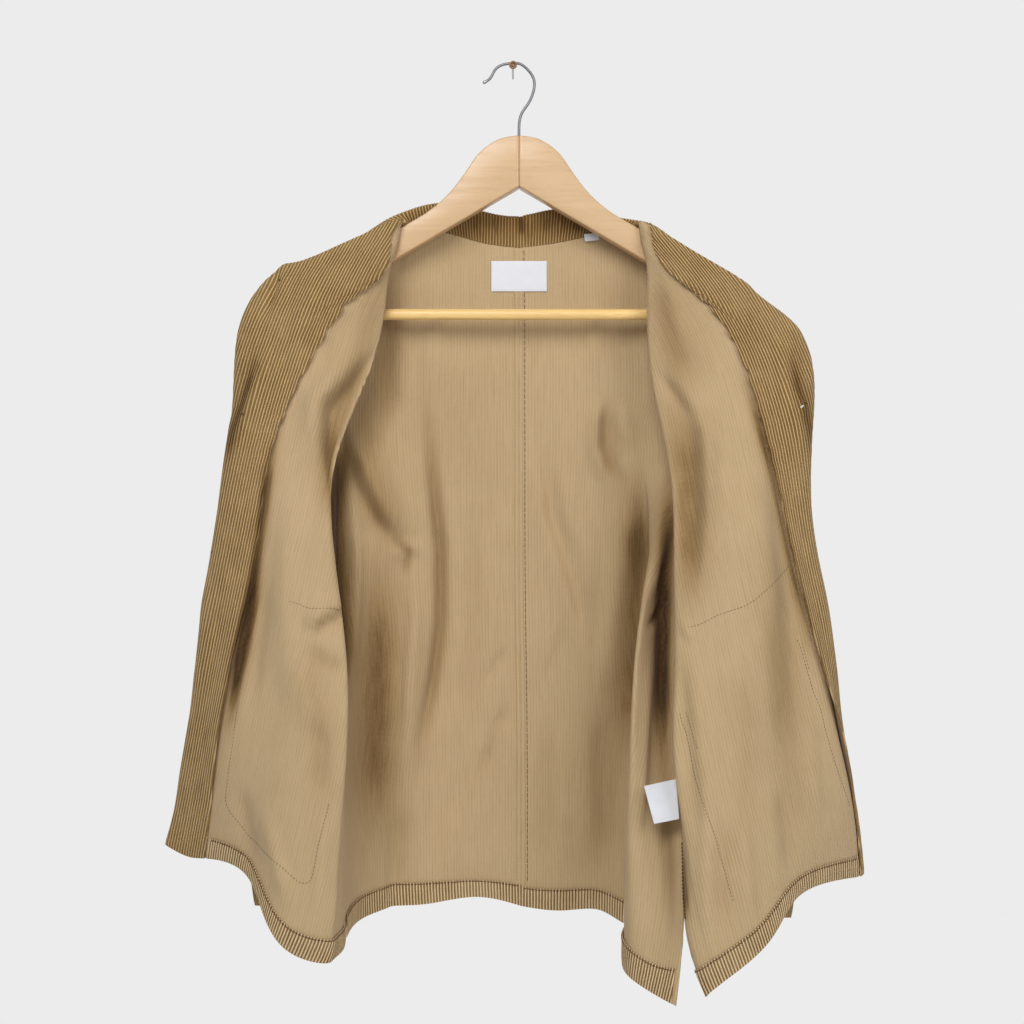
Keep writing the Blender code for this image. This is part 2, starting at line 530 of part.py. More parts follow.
def turned(name, profile, look, segments):
    """A turned piece along Y from (place, diameter) pairs, listed from its far end to its near end."""
    shape = bmesh.new()
    rings = []
    for along, diameter in profile:
        circle = bmesh.ops.create_circle(
            shape,
            segments=segments,
            radius=diameter / 2 * MM,
            matrix=Matrix.Translation((0, along * MM, 0)) @ Matrix.Rotation(math.radians(90), 4, "X"),
        )
        rings.append(circle["verts"])
    for ring, after in zip(rings, rings[1:]):
        for i in range(segments):
            j = (i + 1) % segments
            shape.faces.new((ring[i], ring[j], after[j], after[i]))
    shape.faces.new(rings[0])
    shape.faces.new(rings[-1])
    bmesh.ops.recalc_face_normals(shape, faces=shape.faces)
    mesh = bpy.data.meshes.new(name)
    shape.to_mesh(mesh)
    shape.free()
    mesh.shade_smooth()
    mesh.set_sharp_from_angle(angle=math.radians(40))
    return add_object(name, mesh, look)


# ---------------------------------------------------------------- jacket


def fronts():
    for side, inward in (("right", 1), ("left", -1)):
        panel = PANELS[side, "front"]
        facing_out = inward
        seam = SEAM_GAP / SEAM_COLUMN
        cloth_sheet(f"front_{side}", panel.region(seam, EDGE_COLUMN, TOP_ROW, LAST_ROW), REVERSE)

        columns = steps(panel.across, FACE_COLUMN, EDGE_COLUMN, panel.extra_columns)
        rows = steps(panel.down, TOP_ROW, LAST_ROW, panel.extra_rows)
        grid = panel.points(columns, rows)
        loose = np.clip(FACE_COLUMN + 1 - columns, 0, 1) ** FACING_LOOSE_CURVE
        lift = FACING_LIFT * np.interp(rows, FACING_LOOSE_ROWS, (0, 1, 1, 0))
        cloth_sheet(
            f"facing_{side}",
            moved_out(grid, facing_out * (FACING_STEP + lift[:, None] * loose[None, :])),
            CORDUROY,
        )

        grid = panel.region(SIDE_INSET, FACE_COLUMN - FACE_INSET, panel.extra_rows[-1], LAST_ROW)
        cloth_sheet(f"front_hem_{side}", moved_out(grid, facing_out * LAYER_STEP), CORDUROY)

        grid = panel.region(*POCKET_REGION)
        cloth_sheet(f"pocket_{side}", moved_out(grid, -facing_out * LAYER_STEP), CORDUROY)


def backs():
    for side, inward in (("right", 1), ("left", -1)):
        panel = PANELS[side, "back"]
        last = float(len(panel.across))
        seam = SEAM_GAP / 2 / SEAM_COLUMN
        cloth_sheet(f"back_{side}", panel.region(seam, last, 0.0, LAST_ROW), REVERSE)
        grid = panel.region(seam, last - SIDE_INSET, panel.extra_rows[-1], LAST_ROW)
        cloth_sheet(f"back_hem_{side}", moved_out(grid, inward * LAYER_STEP), CORDUROY)


def armhole(side):
    """Points round an armhole, from the shoulder down its front edge and up its back edge."""
    front, back = PANELS[side, "front"], PANELS[side, "back"]
    down = steps(front.down, 0.0, UNDERARM_ROW)
    front_edge = front.points([0.0], down)[:, 0]
    back_edge = back.points([float(len(back.across))], down[::-1])[:, 0]
    front_edge[-1] = back_edge[0] = (front_edge[-1] + back_edge[0]) / 2
    front_edge[0] = back_edge[-1] = (front_edge[0] + back_edge[-1]) / 2
    return np.vstack((front_edge, back_edge[1:-1]))


def sleeve_ring(row, side, fraction, count):
    """One section of a sleeve: an oval on the line between the row's outer and inner ends."""
    mirrored = side == "left"
    ends = []
    for across, drop in (row.outer, row.inner):
        if mirrored:
            across = 2 * HANGER_MIDDLE - across + LEFT_SLEEVE_SPLAY * fraction
            drop = drop + LEFT_SLEEVE_DROP * fraction
        ends.append(np.array((across, drop)))
    turns = np.arange(count) * 2 * math.pi / count
    along = (1 - np.cos(turns)) / 2
    deep = np.sin(turns)
    flat = ends[0] + along[:, None] * (ends[1] - ends[0])
    return np.array([place((a, d, row.forward + row.half_depth * s)) for (a, d), s in zip(flat, deep)])


def sleeves():
    for side, outward in (("right", -1), ("left", 1)):
        start = armhole(side)
        start[:, 0] += outward * SLEEVE_SEAM_GAP
        rings = [start]
        for i, row in enumerate(SLEEVE):
            rings.append(sleeve_ring(row, side, i / (len(SLEEVE) - 1), SLEEVE_ROUND))
        rings = np.array(rings)
        down = steps((2,) + (1,) * (len(SLEEVE) - 2) + (2,), 0.0, float(len(SLEEVE)))
        grid = np.array([through(rings[:, i], down) for i in range(SLEEVE_ROUND)]).transpose(1, 0, 2)
        cloth_sheet(f"sleeve_{side}", grid, CORDUROY, closed=True)

        last = SLEEVE[-1]
        cuff = []
        for drop in CUFF_DROPS:
            outer = (last.outer[0] + CUFF_OUTER_SLOPE * drop, last.outer[1] + drop)
            inner = (last.inner[0], last.inner[1] + drop)
            row = Sleeve("cuff", outer, inner, last.half_depth + CUFF_FULLNESS, last.forward)
            cuff.append(sleeve_ring(row, side, 1.0, SLEEVE_ROUND))
        cuff = np.array(cuff)
        cuff[..., 2] -= CUFF_GAP
        cloth_sheet(f"cuff_{side}", cuff, CORDUROY, closed=True)


def neck_seam(panel, column):
    """Where the collar's lower edge stands, just clear of the panel's neck edge."""
    lift = BACK_SEAM_LIFT if panel.endswith("back") else FRONT_SEAM_LIFT
    panel = PANELS[tuple(panel.split())]
    columns = steps(panel.across, 0.0, float(len(panel.across)), panel.extra_columns)
    edge = panel.points(columns, [0.0])[0]
    return np.array([np.interp(column, columns, values) for values in edge.T]) + np.array((0, 0, lift))


def collar():
    """Stand and leaf in one: each section rises from the neck seam, rolls over and falls behind."""
    sections = []
    for row in COLLAR:
        on_back = row.panel.endswith("back")
        seam = neck_seam(row.panel, row.column)
        roll, leaf = place(row.roll), place(row.leaf)
        behind = roll + np.array((0, row.over, -COLLAR_ROLL_DROP))
        rise = (seam + roll) / 2 - np.array((0, COLLAR_RISE_LEAN if on_back else 0, 0))
        fall = (behind + leaf) / 2 + COLLAR_FALL_BULGE
        sections.append((seam, rise, roll, behind, fall, leaf))
    sections = np.array(sections)
    down = steps((1, 1, 1, 1, 2), 0.0, 5.0)
    lines = np.array([through(section, down) for section in sections])
    along = steps((2,) * (len(COLLAR) - 1), 0.0, float(len(COLLAR) - 1))
    grid = np.array([through(lines[:, i], along) for i in range(len(down))])
    for j, spot in enumerate(along):
        before, after = COLLAR[int(spot)], COLLAR[min(int(spot) + 1, len(COLLAR) - 1)]
        if before.panel == after.panel:
            share = spot - int(spot)
            column = before.column * (1 - share) + after.column * share
            grid[0, j] = neck_seam(before.panel, column)
    cloth_sheet("collar", grid, CORDUROY)


def corner_sheet(name, corners, look, thickness):
    """A small four-cornered piece of tape or cloth."""
    top_left, top_right, bottom_right, bottom_left = (place(corner) for corner in corners)
    grid = []
    for down in (0.0, 0.5, 1.0):
        left = top_left + (bottom_left - top_left) * down
        right = top_right + (bottom_right - top_right) * down
        grid.append([left + (right - left) * across for across in (0.0, 0.5, 1.0)])
    return cloth_sheet(name, np.array(grid), look, wall=thickness)


def labels():
    width, height = NECK_LABEL
    grid = []
    for down in np.linspace(0, 1, 4):
        line = []
        for across in np.linspace(-0.5, 0.5, 7):
            side = "right" if across < 0 else "left"
            column = abs(across) * width / SEAM_COLUMN
            row = NECK_LABEL_ROW + down * height / NECK_LABEL_ROW_HEIGHT
            line.append(PANELS[side, "back"].points([column], [row])[0, 0])
        grid.append(line)
    grid = np.array(grid) - np.array((0, WALL / 2 + LABEL_THICKNESS / 2 + LABEL_CLEARANCE, 0))
    cloth_sheet("neck_label", grid, WHITE, wall=LABEL_THICKNESS)
    corner_sheet("size_tab", SIZE_TAB, WHITE, LABEL_THICKNESS)
    corner_sheet("care_label", CARE_LABEL_CORNERS, WHITE, LABEL_THICKNESS)


def buttons():
    """Sewn to the right front's outer face, which is turned to the back here."""
    panel = PANELS["right", "front"]
    rows = np.linspace(0.0, LAST_ROW, 401)
    edge = panel.points([EDGE_COLUMN], rows)[:, 0]
    run = np.concatenate(([0.0], np.cumsum(np.linalg.norm(np.diff(edge, axis=0), axis=1))))
    for i in range(BUTTON_COUNT):
        row = np.interp(FIRST_BUTTON_DROP + i * BUTTON_PITCH, run, rows)
        columns = np.linspace(EDGE_COLUMN, FACE_COLUMN, 61)
        line = panel.points(columns, [row])[0]
        reach = np.concatenate(([0.0], np.cumsum(np.linalg.norm(np.diff(line, axis=0), axis=1))))
        column = np.interp(BUTTON_SETBACK, reach, columns)
        patch = panel.points([column - 0.05, column, column + 0.05], [row - 0.05, row, row + 0.05])
        normal = -grid_normals(patch)[1, 1]
        normal /= np.linalg.norm(normal)
        nearby = np.linspace(max(row - 1, 0), row + 1, 21)
        under = panel.points(columns, nearby).reshape(-1, 3) - patch[1, 1]
        height = under @ normal
        beneath = np.linalg.norm(under - height[:, None] * normal, axis=1) < BUTTON_DIAMETER / 2 + WALL
        lift = height[beneath & (height < BUTTON_DIAMETER / 2)].max()
        spot = patch[1, 1] + normal * (lift + WALL / 2 + BUTTON_SHANK + BUTTON_THICKNESS / 2)
        disc = cylinder(f"button_{i + 1}", BUTTON_DIAMETER, BUTTON_THICKNESS, HORN, segments=18)
        disc.rotation_euler = Vector(normal).to_track_quat("Z", "Y").to_euler()
        disc.location = Vector(spot) * MM


COLLECTION = "corduroy_jacket_on_hanger"
FRONT_LINES = ((SIDE_INSET, *POCKET_REGION[:2], FACE_COLUMN - FACE_INSET, FACE_COLUMN), POCKET_REGION[2:])
PANELS = {
    ("right", "front"): Panel(front_sections(RIGHT_FRONT, 1), FRONT_ACROSS, FRONT_CROWN_DOWN, *FRONT_LINES),
    ("left", "front"): Panel(front_sections(LEFT_FRONT, -1), FRONT_ACROSS, FRONT_CROWN_DOWN, *FRONT_LINES),
}
for back_side, table in (("right", RIGHT_BACK), ("left", LEFT_BACK)):
    across_back = BACK_ACROSS[back_side]
    inset_line = (len(across_back) - SIDE_INSET,)
    PANELS[back_side, "back"] = Panel([row[1:] for row in table], across_back, BACK_CROWN_DOWN, inset_line)


def main():
    for old in list(bpy.data.objects):
        bpy.data.objects.remove(old, do_unlink=True)
    bpy.context.scene.collection.children.link(bpy.data.collections.new(COLLECTION))
    hanger()
    backs()
    fronts()
    collar()
    sleeves()
    labels()
    buttons()


main()
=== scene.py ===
"""A corduroy jacket hung wide open on a wooden hanger from a peg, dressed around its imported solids.

Right and left in a name are the wearer's. Tables are in millimetres on a front elevation drawn in
perspective from EYE_DISTANCE: across from the peg, drop below it, and forward of the hanger's middle
plane. place() takes the perspective out. Meshes are in metres, +Z up, with the peg's axis at the origin.
"""

import json
import math
from collections import namedtuple

import bmesh
import bpy
import numpy as np
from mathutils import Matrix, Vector

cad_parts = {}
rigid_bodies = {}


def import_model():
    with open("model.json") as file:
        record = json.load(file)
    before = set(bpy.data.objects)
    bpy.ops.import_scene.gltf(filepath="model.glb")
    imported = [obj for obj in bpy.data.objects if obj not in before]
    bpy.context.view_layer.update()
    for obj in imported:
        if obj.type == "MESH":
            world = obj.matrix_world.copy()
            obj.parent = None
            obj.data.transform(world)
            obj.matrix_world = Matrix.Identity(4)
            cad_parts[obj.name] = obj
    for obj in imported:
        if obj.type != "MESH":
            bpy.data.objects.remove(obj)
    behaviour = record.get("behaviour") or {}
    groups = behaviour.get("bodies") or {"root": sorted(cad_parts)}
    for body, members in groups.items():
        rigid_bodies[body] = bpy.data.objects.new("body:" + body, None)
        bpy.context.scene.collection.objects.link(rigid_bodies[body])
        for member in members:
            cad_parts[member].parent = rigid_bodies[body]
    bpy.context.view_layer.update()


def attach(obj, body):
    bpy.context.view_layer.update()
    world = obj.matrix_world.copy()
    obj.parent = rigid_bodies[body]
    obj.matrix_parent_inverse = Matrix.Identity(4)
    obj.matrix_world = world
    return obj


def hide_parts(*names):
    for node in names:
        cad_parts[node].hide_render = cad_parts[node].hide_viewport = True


bl_info = {
    "name": "Corduroy jacket on a hanger",
    "version": (1, 0, 0),
    "blender": (4, 5, 0),
    "location": "View3D > Sidebar > Jacket",
    "description": "Makes a corduroy jacket that hangs wide open on a wooden hanger",
    "category": "Add Mesh",
}

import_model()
BODY = "root"
MM = 0.001

# Elevation
EYE_DISTANCE = 1700.0
EYE_ACROSS = -1.0
EYE_DROP = 446.0

# Cloth
SEAM_GAP = 0.12
FACING_STEP = 2.4
LAYER_STEP = 2.1
HEM_HEIGHT = 22.0
BACK_SEAM_LIFT = 0.4
FRONT_SEAM_LIFT = 1.2
CUFF_GAP = 0.5
SLEEVE_SEAM_GAP = 1.2
COLLAR_ROLL_DROP = 1.5
COLLAR_RISE_LEAN = 1.0
COLLAR_ROLL_ROW = 2.0
COLLAR_FOLD_FADE = 1.5
COLLAR_FALL_BULGE = np.array((0.0, 6.0, 3.0))
SEAM_COLUMN = 38.0

# Hanger
HANGER_MIDDLE = 6.0
ARM_THICKNESS = 18.0
ARM_ROUNDING = 4.5
BAR_DIAMETER = 11.0
BAR_DROP = 248.5
BAR_HALF_LENGTH = 201.9
ARM_POINTS = 90
WIRE_DIAMETER = 2.8
HOOK_POINTS = 110
HOOK_TIP_SHARE = 0.55
HOOK_TIP_WALL = 0.35
PEG_SHANK_DIAMETER = 2.2
PEG_HEAD_DIAMETER = 8.0
PEG_HEAD_THICKNESS = 2.4
PEG_HEAD_FRONT = 5.4
WALL_PLANE = 50.0

# Trimmings
BUTTON_DIAMETER = 20.0
BUTTON_THICKNESS = 3.2
BUTTON_RIM = 1.8
BUTTON_DISH = 0.9
BUTTON_SHANK = 0.6
HOLES = ((-1.6, -1.6), (1.6, -1.6), (1.6, 1.6), (-1.6, 1.6))
HOLE_DIAMETER = 1.7
HOLE_THREAD = 1.0
HOLE_THREAD_DEPTH = 0.7
BUTTON_PITCH = 142.0
BUTTON_COUNT = 4
FIRST_BUTTON_DROP = 15.0
BUTTON_SETBACK = 26.0
NECK_LABEL = (55.5, 30.5)
NECK_LABEL_TOP = 195.0
LABEL_THICKNESS = 0.8
LABEL_CLEARANCE = 0.5
SOLID_WALL = 1.6

# Stage
PICTURE_WIDTH = 1024.0
SENSOR_WIDTH = 36.0
WALL_AWAY = 2.6
FLOOR_DROP = -1.9
WORLD_LIGHT = 0.3
LIT_POINT = (0.0, 0.0, -0.42)
Light = namedtuple("Light", "name spot size power")
LIGHTS = (
    Light("key", (-0.5, -2.2, 1.1), 1.5, 44.0),
    Light("fill", (1.7, -2.1, 0.3), 1.6, 23.0),
)

# Creases: how they fade out, how high they are drawn and how much painted shade they lay in the cloth
FOLD_FADE = 0.34
COLUMN_FADE = 0.5
FOLD_DEPTH = 1.5
STEP_SHARPNESS = 1.3
STEP_REACH = 2.2
# Painted shade of the creases: its reach across, and how much each millimetre of trough or wall adds
PAINTED_SHADE_REACH = 1.15
TROUGH_PAINTED_SHADE = 0.035
WALL_PAINTED_SHADE = 0.02
SLEEVE_FRONT_FOLDS = 0.4

# The cloth's relief
WALE_FULLNESS = 0.8
PILE_SUNK = 0.6
EDGE_SHARE = 0.5
REVERSE_RIB = 0.1
SHARP_ANGLE = 60

# How finely the pieces are drawn
MAP_FINENESS = 20
PATH_STEP = 3.0
FINE_COLUMNS = 40
FINE_ROWS = 600
LEAST_CHORD = 0.5
CHORD_POWER = 0.7
LEAST_SPREAD = 0.6
BACK_LINES = 3
FRONT_LINES = 3
FACING_LINES = 4
HEM_LINES = 4
HEM_ROW_STEP = 5.0
SLEEVE_WALES = 74
SLEEVE_LINES = 3
SLEEVE_ROUND = 18
SLEEVE_ROW_STEP = 8.0
CUFF_ROW_STEP = 6.0
COLLAR_LINES = 4
COLLAR_ROWS = 26
SEAM_POINTS = 240
HEM_POINTS = 200
ARMHOLE_ROWS = (0, 1, 2, 3, 3.5, 4, 4.5, 5, 5.5, 6)

# How far the fronts' wales lean from upright, in degrees, at each drop on the elevation.
WALE_LEAN = {
    "right": ((150, 34), (204, 30), (254, 21), (334, 15), (414, 12), (950, 11)),
    "left": ((150, 44), (204, 38), (250, 30), (300, 20), (370, 12), (950, 9)),
}
HINGE_COLUMN = 3.1
LEAST_GAIN = 0.4
DEPTH_GAIN = 0.75

# The fields for the size a piece of cloth is cut to, in millimetres, and its area in square centimetres.
Cut = namedtuple("Cut", "width length area")

# Names of the finishes
CORDUROY = "corduroy pile"
HEM_CORDUROY = "corduroy of the hems"
REVERSE = "corduroy reverse"
TAPE = "white woven tape"
DARK_THREAD = "dark brown thread"
TAN_THREAD = "tan thread"
# A tan thread darkened as painted shade, for the pocket seams and the centre seam.
TAN_THREAD_IN_PAINTED_SHADE = "shaded tan thread"
TAPE_THREAD = "pale thread"
PAINT = "painted shank"
WOOD = "varnished beech"
BAR_WOOD = "amber wood"
STEEL = "polished wire"
TIP = "hook tip"
BRASS = "aged brass"
HORN = "horn button"
HEM_LOOKS = (HEM_CORDUROY, REVERSE)

# The felled seam down the middle of the back, in the back's columns, and the hems' stitches, in rows
CENTRE_FELL_HEIGHT = 0.7
CENTRE_FELL_COLUMN = 0.13
CENTRE_FELL_FADE = 0.03
CENTRE_STITCH_COLUMN = 0.11
CENTRE_SEAM_COLUMN = 0.155
HEM_STITCH_ROWS = 0.035

# The length of each kind of stitch and the gap to the next, and the threads' diameters, in millimetres.
FELL_STITCH = (2.6, 1.0)
SEAM_STITCH = (6.0, 0.05)
HEM_STITCH = (3.4, 0.3)
KNOT_STITCH = (2.6, 0.1)
BUTTONHOLE_STITCH = (5.5, 0.1)
BUTTONHOLE_EDGE_STITCH = (0.8, 0.3)
# The vent's dark dashes are painted shadow in its open gap.
VENT_SHADOW_DASH = (3.4, 0.05)
VENT_EDGE_STITCH = (1.6, 0.5)
TACK_STITCH = (1.1, 0.1)
SLIT_THREAD = 2.2
BUTTONHOLE_THREAD = 1.9
HEM_THREAD = 0.95
SEAM_THREAD = 0.75
# Where a stitch's three rings stand along it, and how many radii each rises out of the cloth.
STITCH_BOW = ((0.14, 0.2), (0.5, 0.5), (0.86, 0.2))

# Stitches round the pockets and across the fronts, as drawn on the elevation.
POCKET_STITCHES = (
    ("right", ((-260, 571), (-270, 605), (-275, 639), (-281, 686), (-288, 738), (-263, 771))),
    ("right", ((-263, 771), (-238, 795), (-209, 821), (-201, 816), (-197, 795), (-192, 768), (-183, 734))),
    ("right", ((-224, 534), (-202, 542), (-170, 546))),
    ("left", ((166, 647), (175, 670), (182, 711), (203, 776), (221, 838))),
    ("left", ((173, 646), (180, 667), (186, 686))),
    ("left", ((288, 575), (291, 589), (296, 605))),
    ("left", ((285, 575), (295, 612), (307, 644), (320, 693), (337, 743))),
    ("left", ((276, 501), (242, 535), (221, 543), (185, 559), (171, 562))),
)
POCKET_COLUMNS = (3.0, 5.95)
BUTTONHOLE = ((285, 341), (289.5, 337.5))
BUTTONHOLE_EDGE = 1.5
# Dark dashes at the buttonhole's end stand for the shade in its opening: painted shade.
BUTTONHOLE_END = ((290, 339), (291.5, 336))
BUTTON_THREADS = (
    ((-232, 214), (-230.5, 216.5)), ((-268.5, 346), (-267.5, 349)), ((-298, 487), (-297.5, 490)),
)
# Along VENT_SLIT a near-solid dark line of dashes stands for the shadow in the vent's opening: painted
# shadow.
VENT_SLIT = ((169.5, 776), (171.2, 814), (174, 856))
VENT_EDGE = 1.6
VENT_COLUMNS = (0.3, 5.0)
BAR_TACK = ((171.5, 859), (177, 861))

Front = namedtuple("Front", "name side under bend hinge mid fall face ridge brow tuck")
RightBack = namedtuple("RightBack", "name centre inner blade neck outer shelf wing side")
LeftBack = namedtuple("LeftBack", "name centre inner blade neck valley shelf crest dip side")
Sleeve = namedtuple("Sleeve", "name outer inner half_depth forward")
Collar = namedtuple("Collar", "name panel column roll leaf over")

# The wearer's right front, swung out to -X: a row for each section, from the shoulder to the hem.
RIGHT_FRONT = (
    Front("shoulder", (-214, 223, 0.8), (-161, 191, 0.8), (-121, 164.6, 2.6), (-111, 158, 3), (-111, 156, 10),
        (-113, 156, 13), (-117, 156, 16), (-209, 196, 31), (-226, 200, 27), 12),
    Front("lap", (-214, 231, 12.5), (-161, 199, 12.5), (-123.4, 175.8, 12.9), (-114, 170, 13),
        (-115, 171, 17), (-118, 173, 20), (-122, 173, 22), (-217, 208, 35), (-235, 207, 29), 14),
    Front("neck", (-211, 264, 15), (-163, 230, 14), (-130.2, 203.6, 15.6), (-122, 197, 16), (-123, 198, 20),
        (-125, 199, 23), (-127, 200, 26), (-230, 225, 38), (-248, 220, 29), 15),
    Front("chest", (-208, 310, 14), (-167, 279, 14), (-136.6, 252.6, 18.8), (-129, 246, 20), (-139, 243, 27),
        (-151, 240, 32), (-164, 236, 36), (-250, 263, 44), (-269, 256, 30), 14),
    Front("armhole", (-202, 362, 13), (-173, 334, 18), (-153, 319.6, 26.8), (-148, 316, 29), (-173, 314, 40),
        (-191, 312, 44), (-210, 310, 46), (-256, 320, 46), (-276.5, 317, 30), 12),
    Front("underarm", (-193, 408, 17), (-185, 408, 34), (-181.8, 408, 51.6), (-181, 408, 56), (-198, 402, 60),
        (-219, 394, 60), (-240, 386, 57), (-268, 389, 50), (-284.5, 384, 34), 8),
    Front("rib", (-186, 500, 36), (-183, 501, 55), (-179, 501, 71.8), (-178, 501, 76), (-199, 496, 82),
        (-224, 484, 78), (-251, 470, 68), (-279, 465, 58), (-294.5, 459, 38), 13),
    Front("waist", (-176, 598, 50), (-171, 598, 72), (-167.8, 598, 89.6), (-167, 598, 94), (-195, 596, 100),
        (-231, 572, 88), (-266, 548, 73), (-291, 542, 60), (-306, 535, 40), 14),
    Front("pocket", (-171, 698, 62), (-169, 699, 86), (-168.2, 699, 105.2), (-168, 699, 110),
        (-205, 696, 116), (-245, 656, 96), (-283, 626, 76), (-302, 621, 61), (-315, 617, 41), 14),
    Front("low", (-170, 796, 74), (-171, 800, 98), (-175, 801.6, 115.6), (-176, 802, 120), (-216, 792, 126),
        (-257, 740, 102), (-296, 708, 73), (-313, 702, 56), (-328.5, 698, 36), 12),
    Front("vent", (-170, 838, 79), (-172, 845, 103), (-177.6, 850.6, 119), (-179, 852, 123), (-220, 842, 129),
        (-260, 780, 101), (-302, 754, 68), (-320, 749, 50), (-335.5, 743, 31), 10),
    Front("hem", (-170, 875, 84), (-174, 886, 106), (-182.8, 894, 120.4), (-185, 896, 124), (-227, 883, 130),
        (-264, 810, 98), (-307, 792, 62), (-326, 789, 44), (-345, 779, 26), 8),
)

# The wearer's left front, swung out to +X.
LEFT_FRONT = (
    Front("shoulder", (226, 223, 0.8), (173, 191, 0.8), (135.4, 164.6, 2.6), (126, 158, 3), (127, 156, 10),
        (130, 156, 13), (135, 159, 16), (209, 204, 31), (227, 216.5, 27), 12),
    Front("lap", (226, 231, 12.5), (173, 199, 12.5), (136.2, 175, 12.9), (127, 169, 13), (129, 170, 17),
        (133, 173, 20), (139, 175, 22), (220, 218, 35), (239, 227, 29), 14),
    Front("neck", (223, 264, 15), (177, 230, 14), (141, 197.2, 15.6), (132, 189, 16), (135, 191, 20),
        (140, 193, 24), (147, 196, 27), (238, 240, 40), (256, 241, 30), 15),
    Front("chest", (220, 310, 14), (178, 279, 14), (142.8, 247, 18.8), (134, 239, 20), (150, 238, 28),
        (170, 236, 34), (191, 236, 38), (269, 276, 46), (285.5, 268, 32), 14),
    Front("armhole", (214, 362, 13), (179, 336, 20), (147.8, 320, 28), (140, 316, 30), (170, 311, 42),
        (201, 306, 47), (232, 303, 48), (281, 320, 48), (298, 315, 31), 12),
    Front("underarm", (199, 406, 21), (177, 408, 34), (161.8, 408, 53.2), (158, 408, 58), (189, 402, 64),
        (222, 394, 64), (254, 388, 59), (282, 386, 50), (295.5, 384, 34), 10),
    Front("rib", (173, 502, 43), (165, 502, 63), (162.6, 502, 79.8), (162, 502, 84), (203, 492, 88),
        (242, 482, 82), (276, 478, 69), (288, 467, 57), (298.5, 462, 38), 13),
    Front("waist", (170, 596, 54), (165, 597, 78), (163.4, 598.6, 97.2), (163, 599, 102), (211, 586, 108),
        (255, 570, 94), (295, 556, 73), (303, 546, 60), (312, 540, 40), 14),
    Front("pocket", (167, 692, 76), (163, 694, 96), (162.2, 695.6, 112), (162, 696, 116), (217, 682, 122),
        (269, 654, 101), (314, 632, 75), (317, 624, 61), (321.5, 618, 41), 13),
    Front("low", (171, 784, 106), (172, 787, 122), (175.2, 790.2, 131.6), (176, 791, 134), (227, 772, 138),
        (285, 736, 110), (333, 709, 72), (331, 703, 58), (333, 699, 39), 11),
    Front("vent", (174, 868, 132), (177, 870, 142), (186.6, 865.2, 146), (189, 864, 147), (240, 830, 142),
        (287, 786, 111), (342, 763, 64), (341, 757, 52), (342, 752, 37), 9),
    Front("hem", (193, 931, 150), (199, 925, 152), (208.6, 917, 152.8), (211, 915, 153), (253, 878, 143),
        (286, 828, 110), (345, 810, 56), (347, 809, 46), (348, 808, 33), 8),
)

# The right half of the back, from the centre seam to the armhole and side seam.
RIGHT_BACK = (
    RightBack("shoulder", (6, 182, -24), (-31, 177, -22), (-67, 167, -16), (-101, 160, -12.8),
              (-109, 158, -1.6), (-119, 164.5, -2), (-161, 191, -1.4), (-214, 223, -0.9)),
    RightBack("lap", (6, 197, -25), (-31, 191, -24), (-67, 183, -20), (-101, 174, -14.5), (-109, 170, -12.5),
              (-119, 175, -12.5), (-161, 199, -12.5), (-214, 232, -12.5)),
    RightBack("neck", (6, 254, -26), (-32, 254, -26), (-70, 254, -25), (-101, 253, -24), (-114, 252, -23),
              (-123, 253, -23), (-161, 258, -21), (-211, 264, -18)),
    RightBack("chest", (6, 322, -28), (-32, 322, -27), (-72, 322, -26), (-101, 322, -24), (-114, 322, -23),
              (-123, 322, -22), (-159, 320, -20), (-208, 310, -17)),
    RightBack("armhole", (6, 374, -29), (-32, 374, -28), (-72, 374, -26), (-101, 374, -22), (-113, 374, -20),
              (-121, 374, -19), (-155, 372, -15), (-202, 362, -12)),
    RightBack("underarm", (6, 422, -30), (-32, 422, -28), (-72, 422, -25), (-100, 422, -19), (-112, 422, -17),
              (-120, 422, -15), (-151, 420, -7), (-193, 408, 8)),
    RightBack("rib", (6, 504, -30), (-32, 504, -28), (-73, 504, -23), (-101, 504, -19), (-113, 504, -17),
              (-121, 504, -14), (-152, 504, -2), (-186, 500, 29)),
    RightBack("waist", (7, 589, -30), (-31, 589, -28), (-73, 589, -24), (-100, 589, -20), (-112, 589, -19),
              (-119, 589, -16), (-149, 590, -4), (-176, 598, 47)),
    RightBack("pocket", (8, 674, -30), (-31, 674, -28), (-75, 674, -24), (-103, 675, -20), (-115, 675, -19),
              (-122, 676, -16), (-149, 678, -2), (-171, 698, 59)),
    RightBack("low", (8, 759, -30), (-33, 758, -28), (-79, 758, -24), (-108, 759, -19), (-120, 760, -17),
              (-126, 762, -13), (-150, 768, 4), (-170, 796, 71)),
    RightBack("vent", (8, 802, -30), (-35, 800, -28), (-81, 799, -24), (-110, 800, -18), (-122, 801, -16),
              (-128, 803, -11), (-150, 811, 7), (-170, 838, 76)),
    RightBack("hem", (8, 839.5, -29), (-37, 830.5, -27), (-83, 837, -23), (-111, 839, -17), (-123, 840, -14),
              (-128, 842, -9), (-150, 851, 10), (-170, 875, 81)),
)

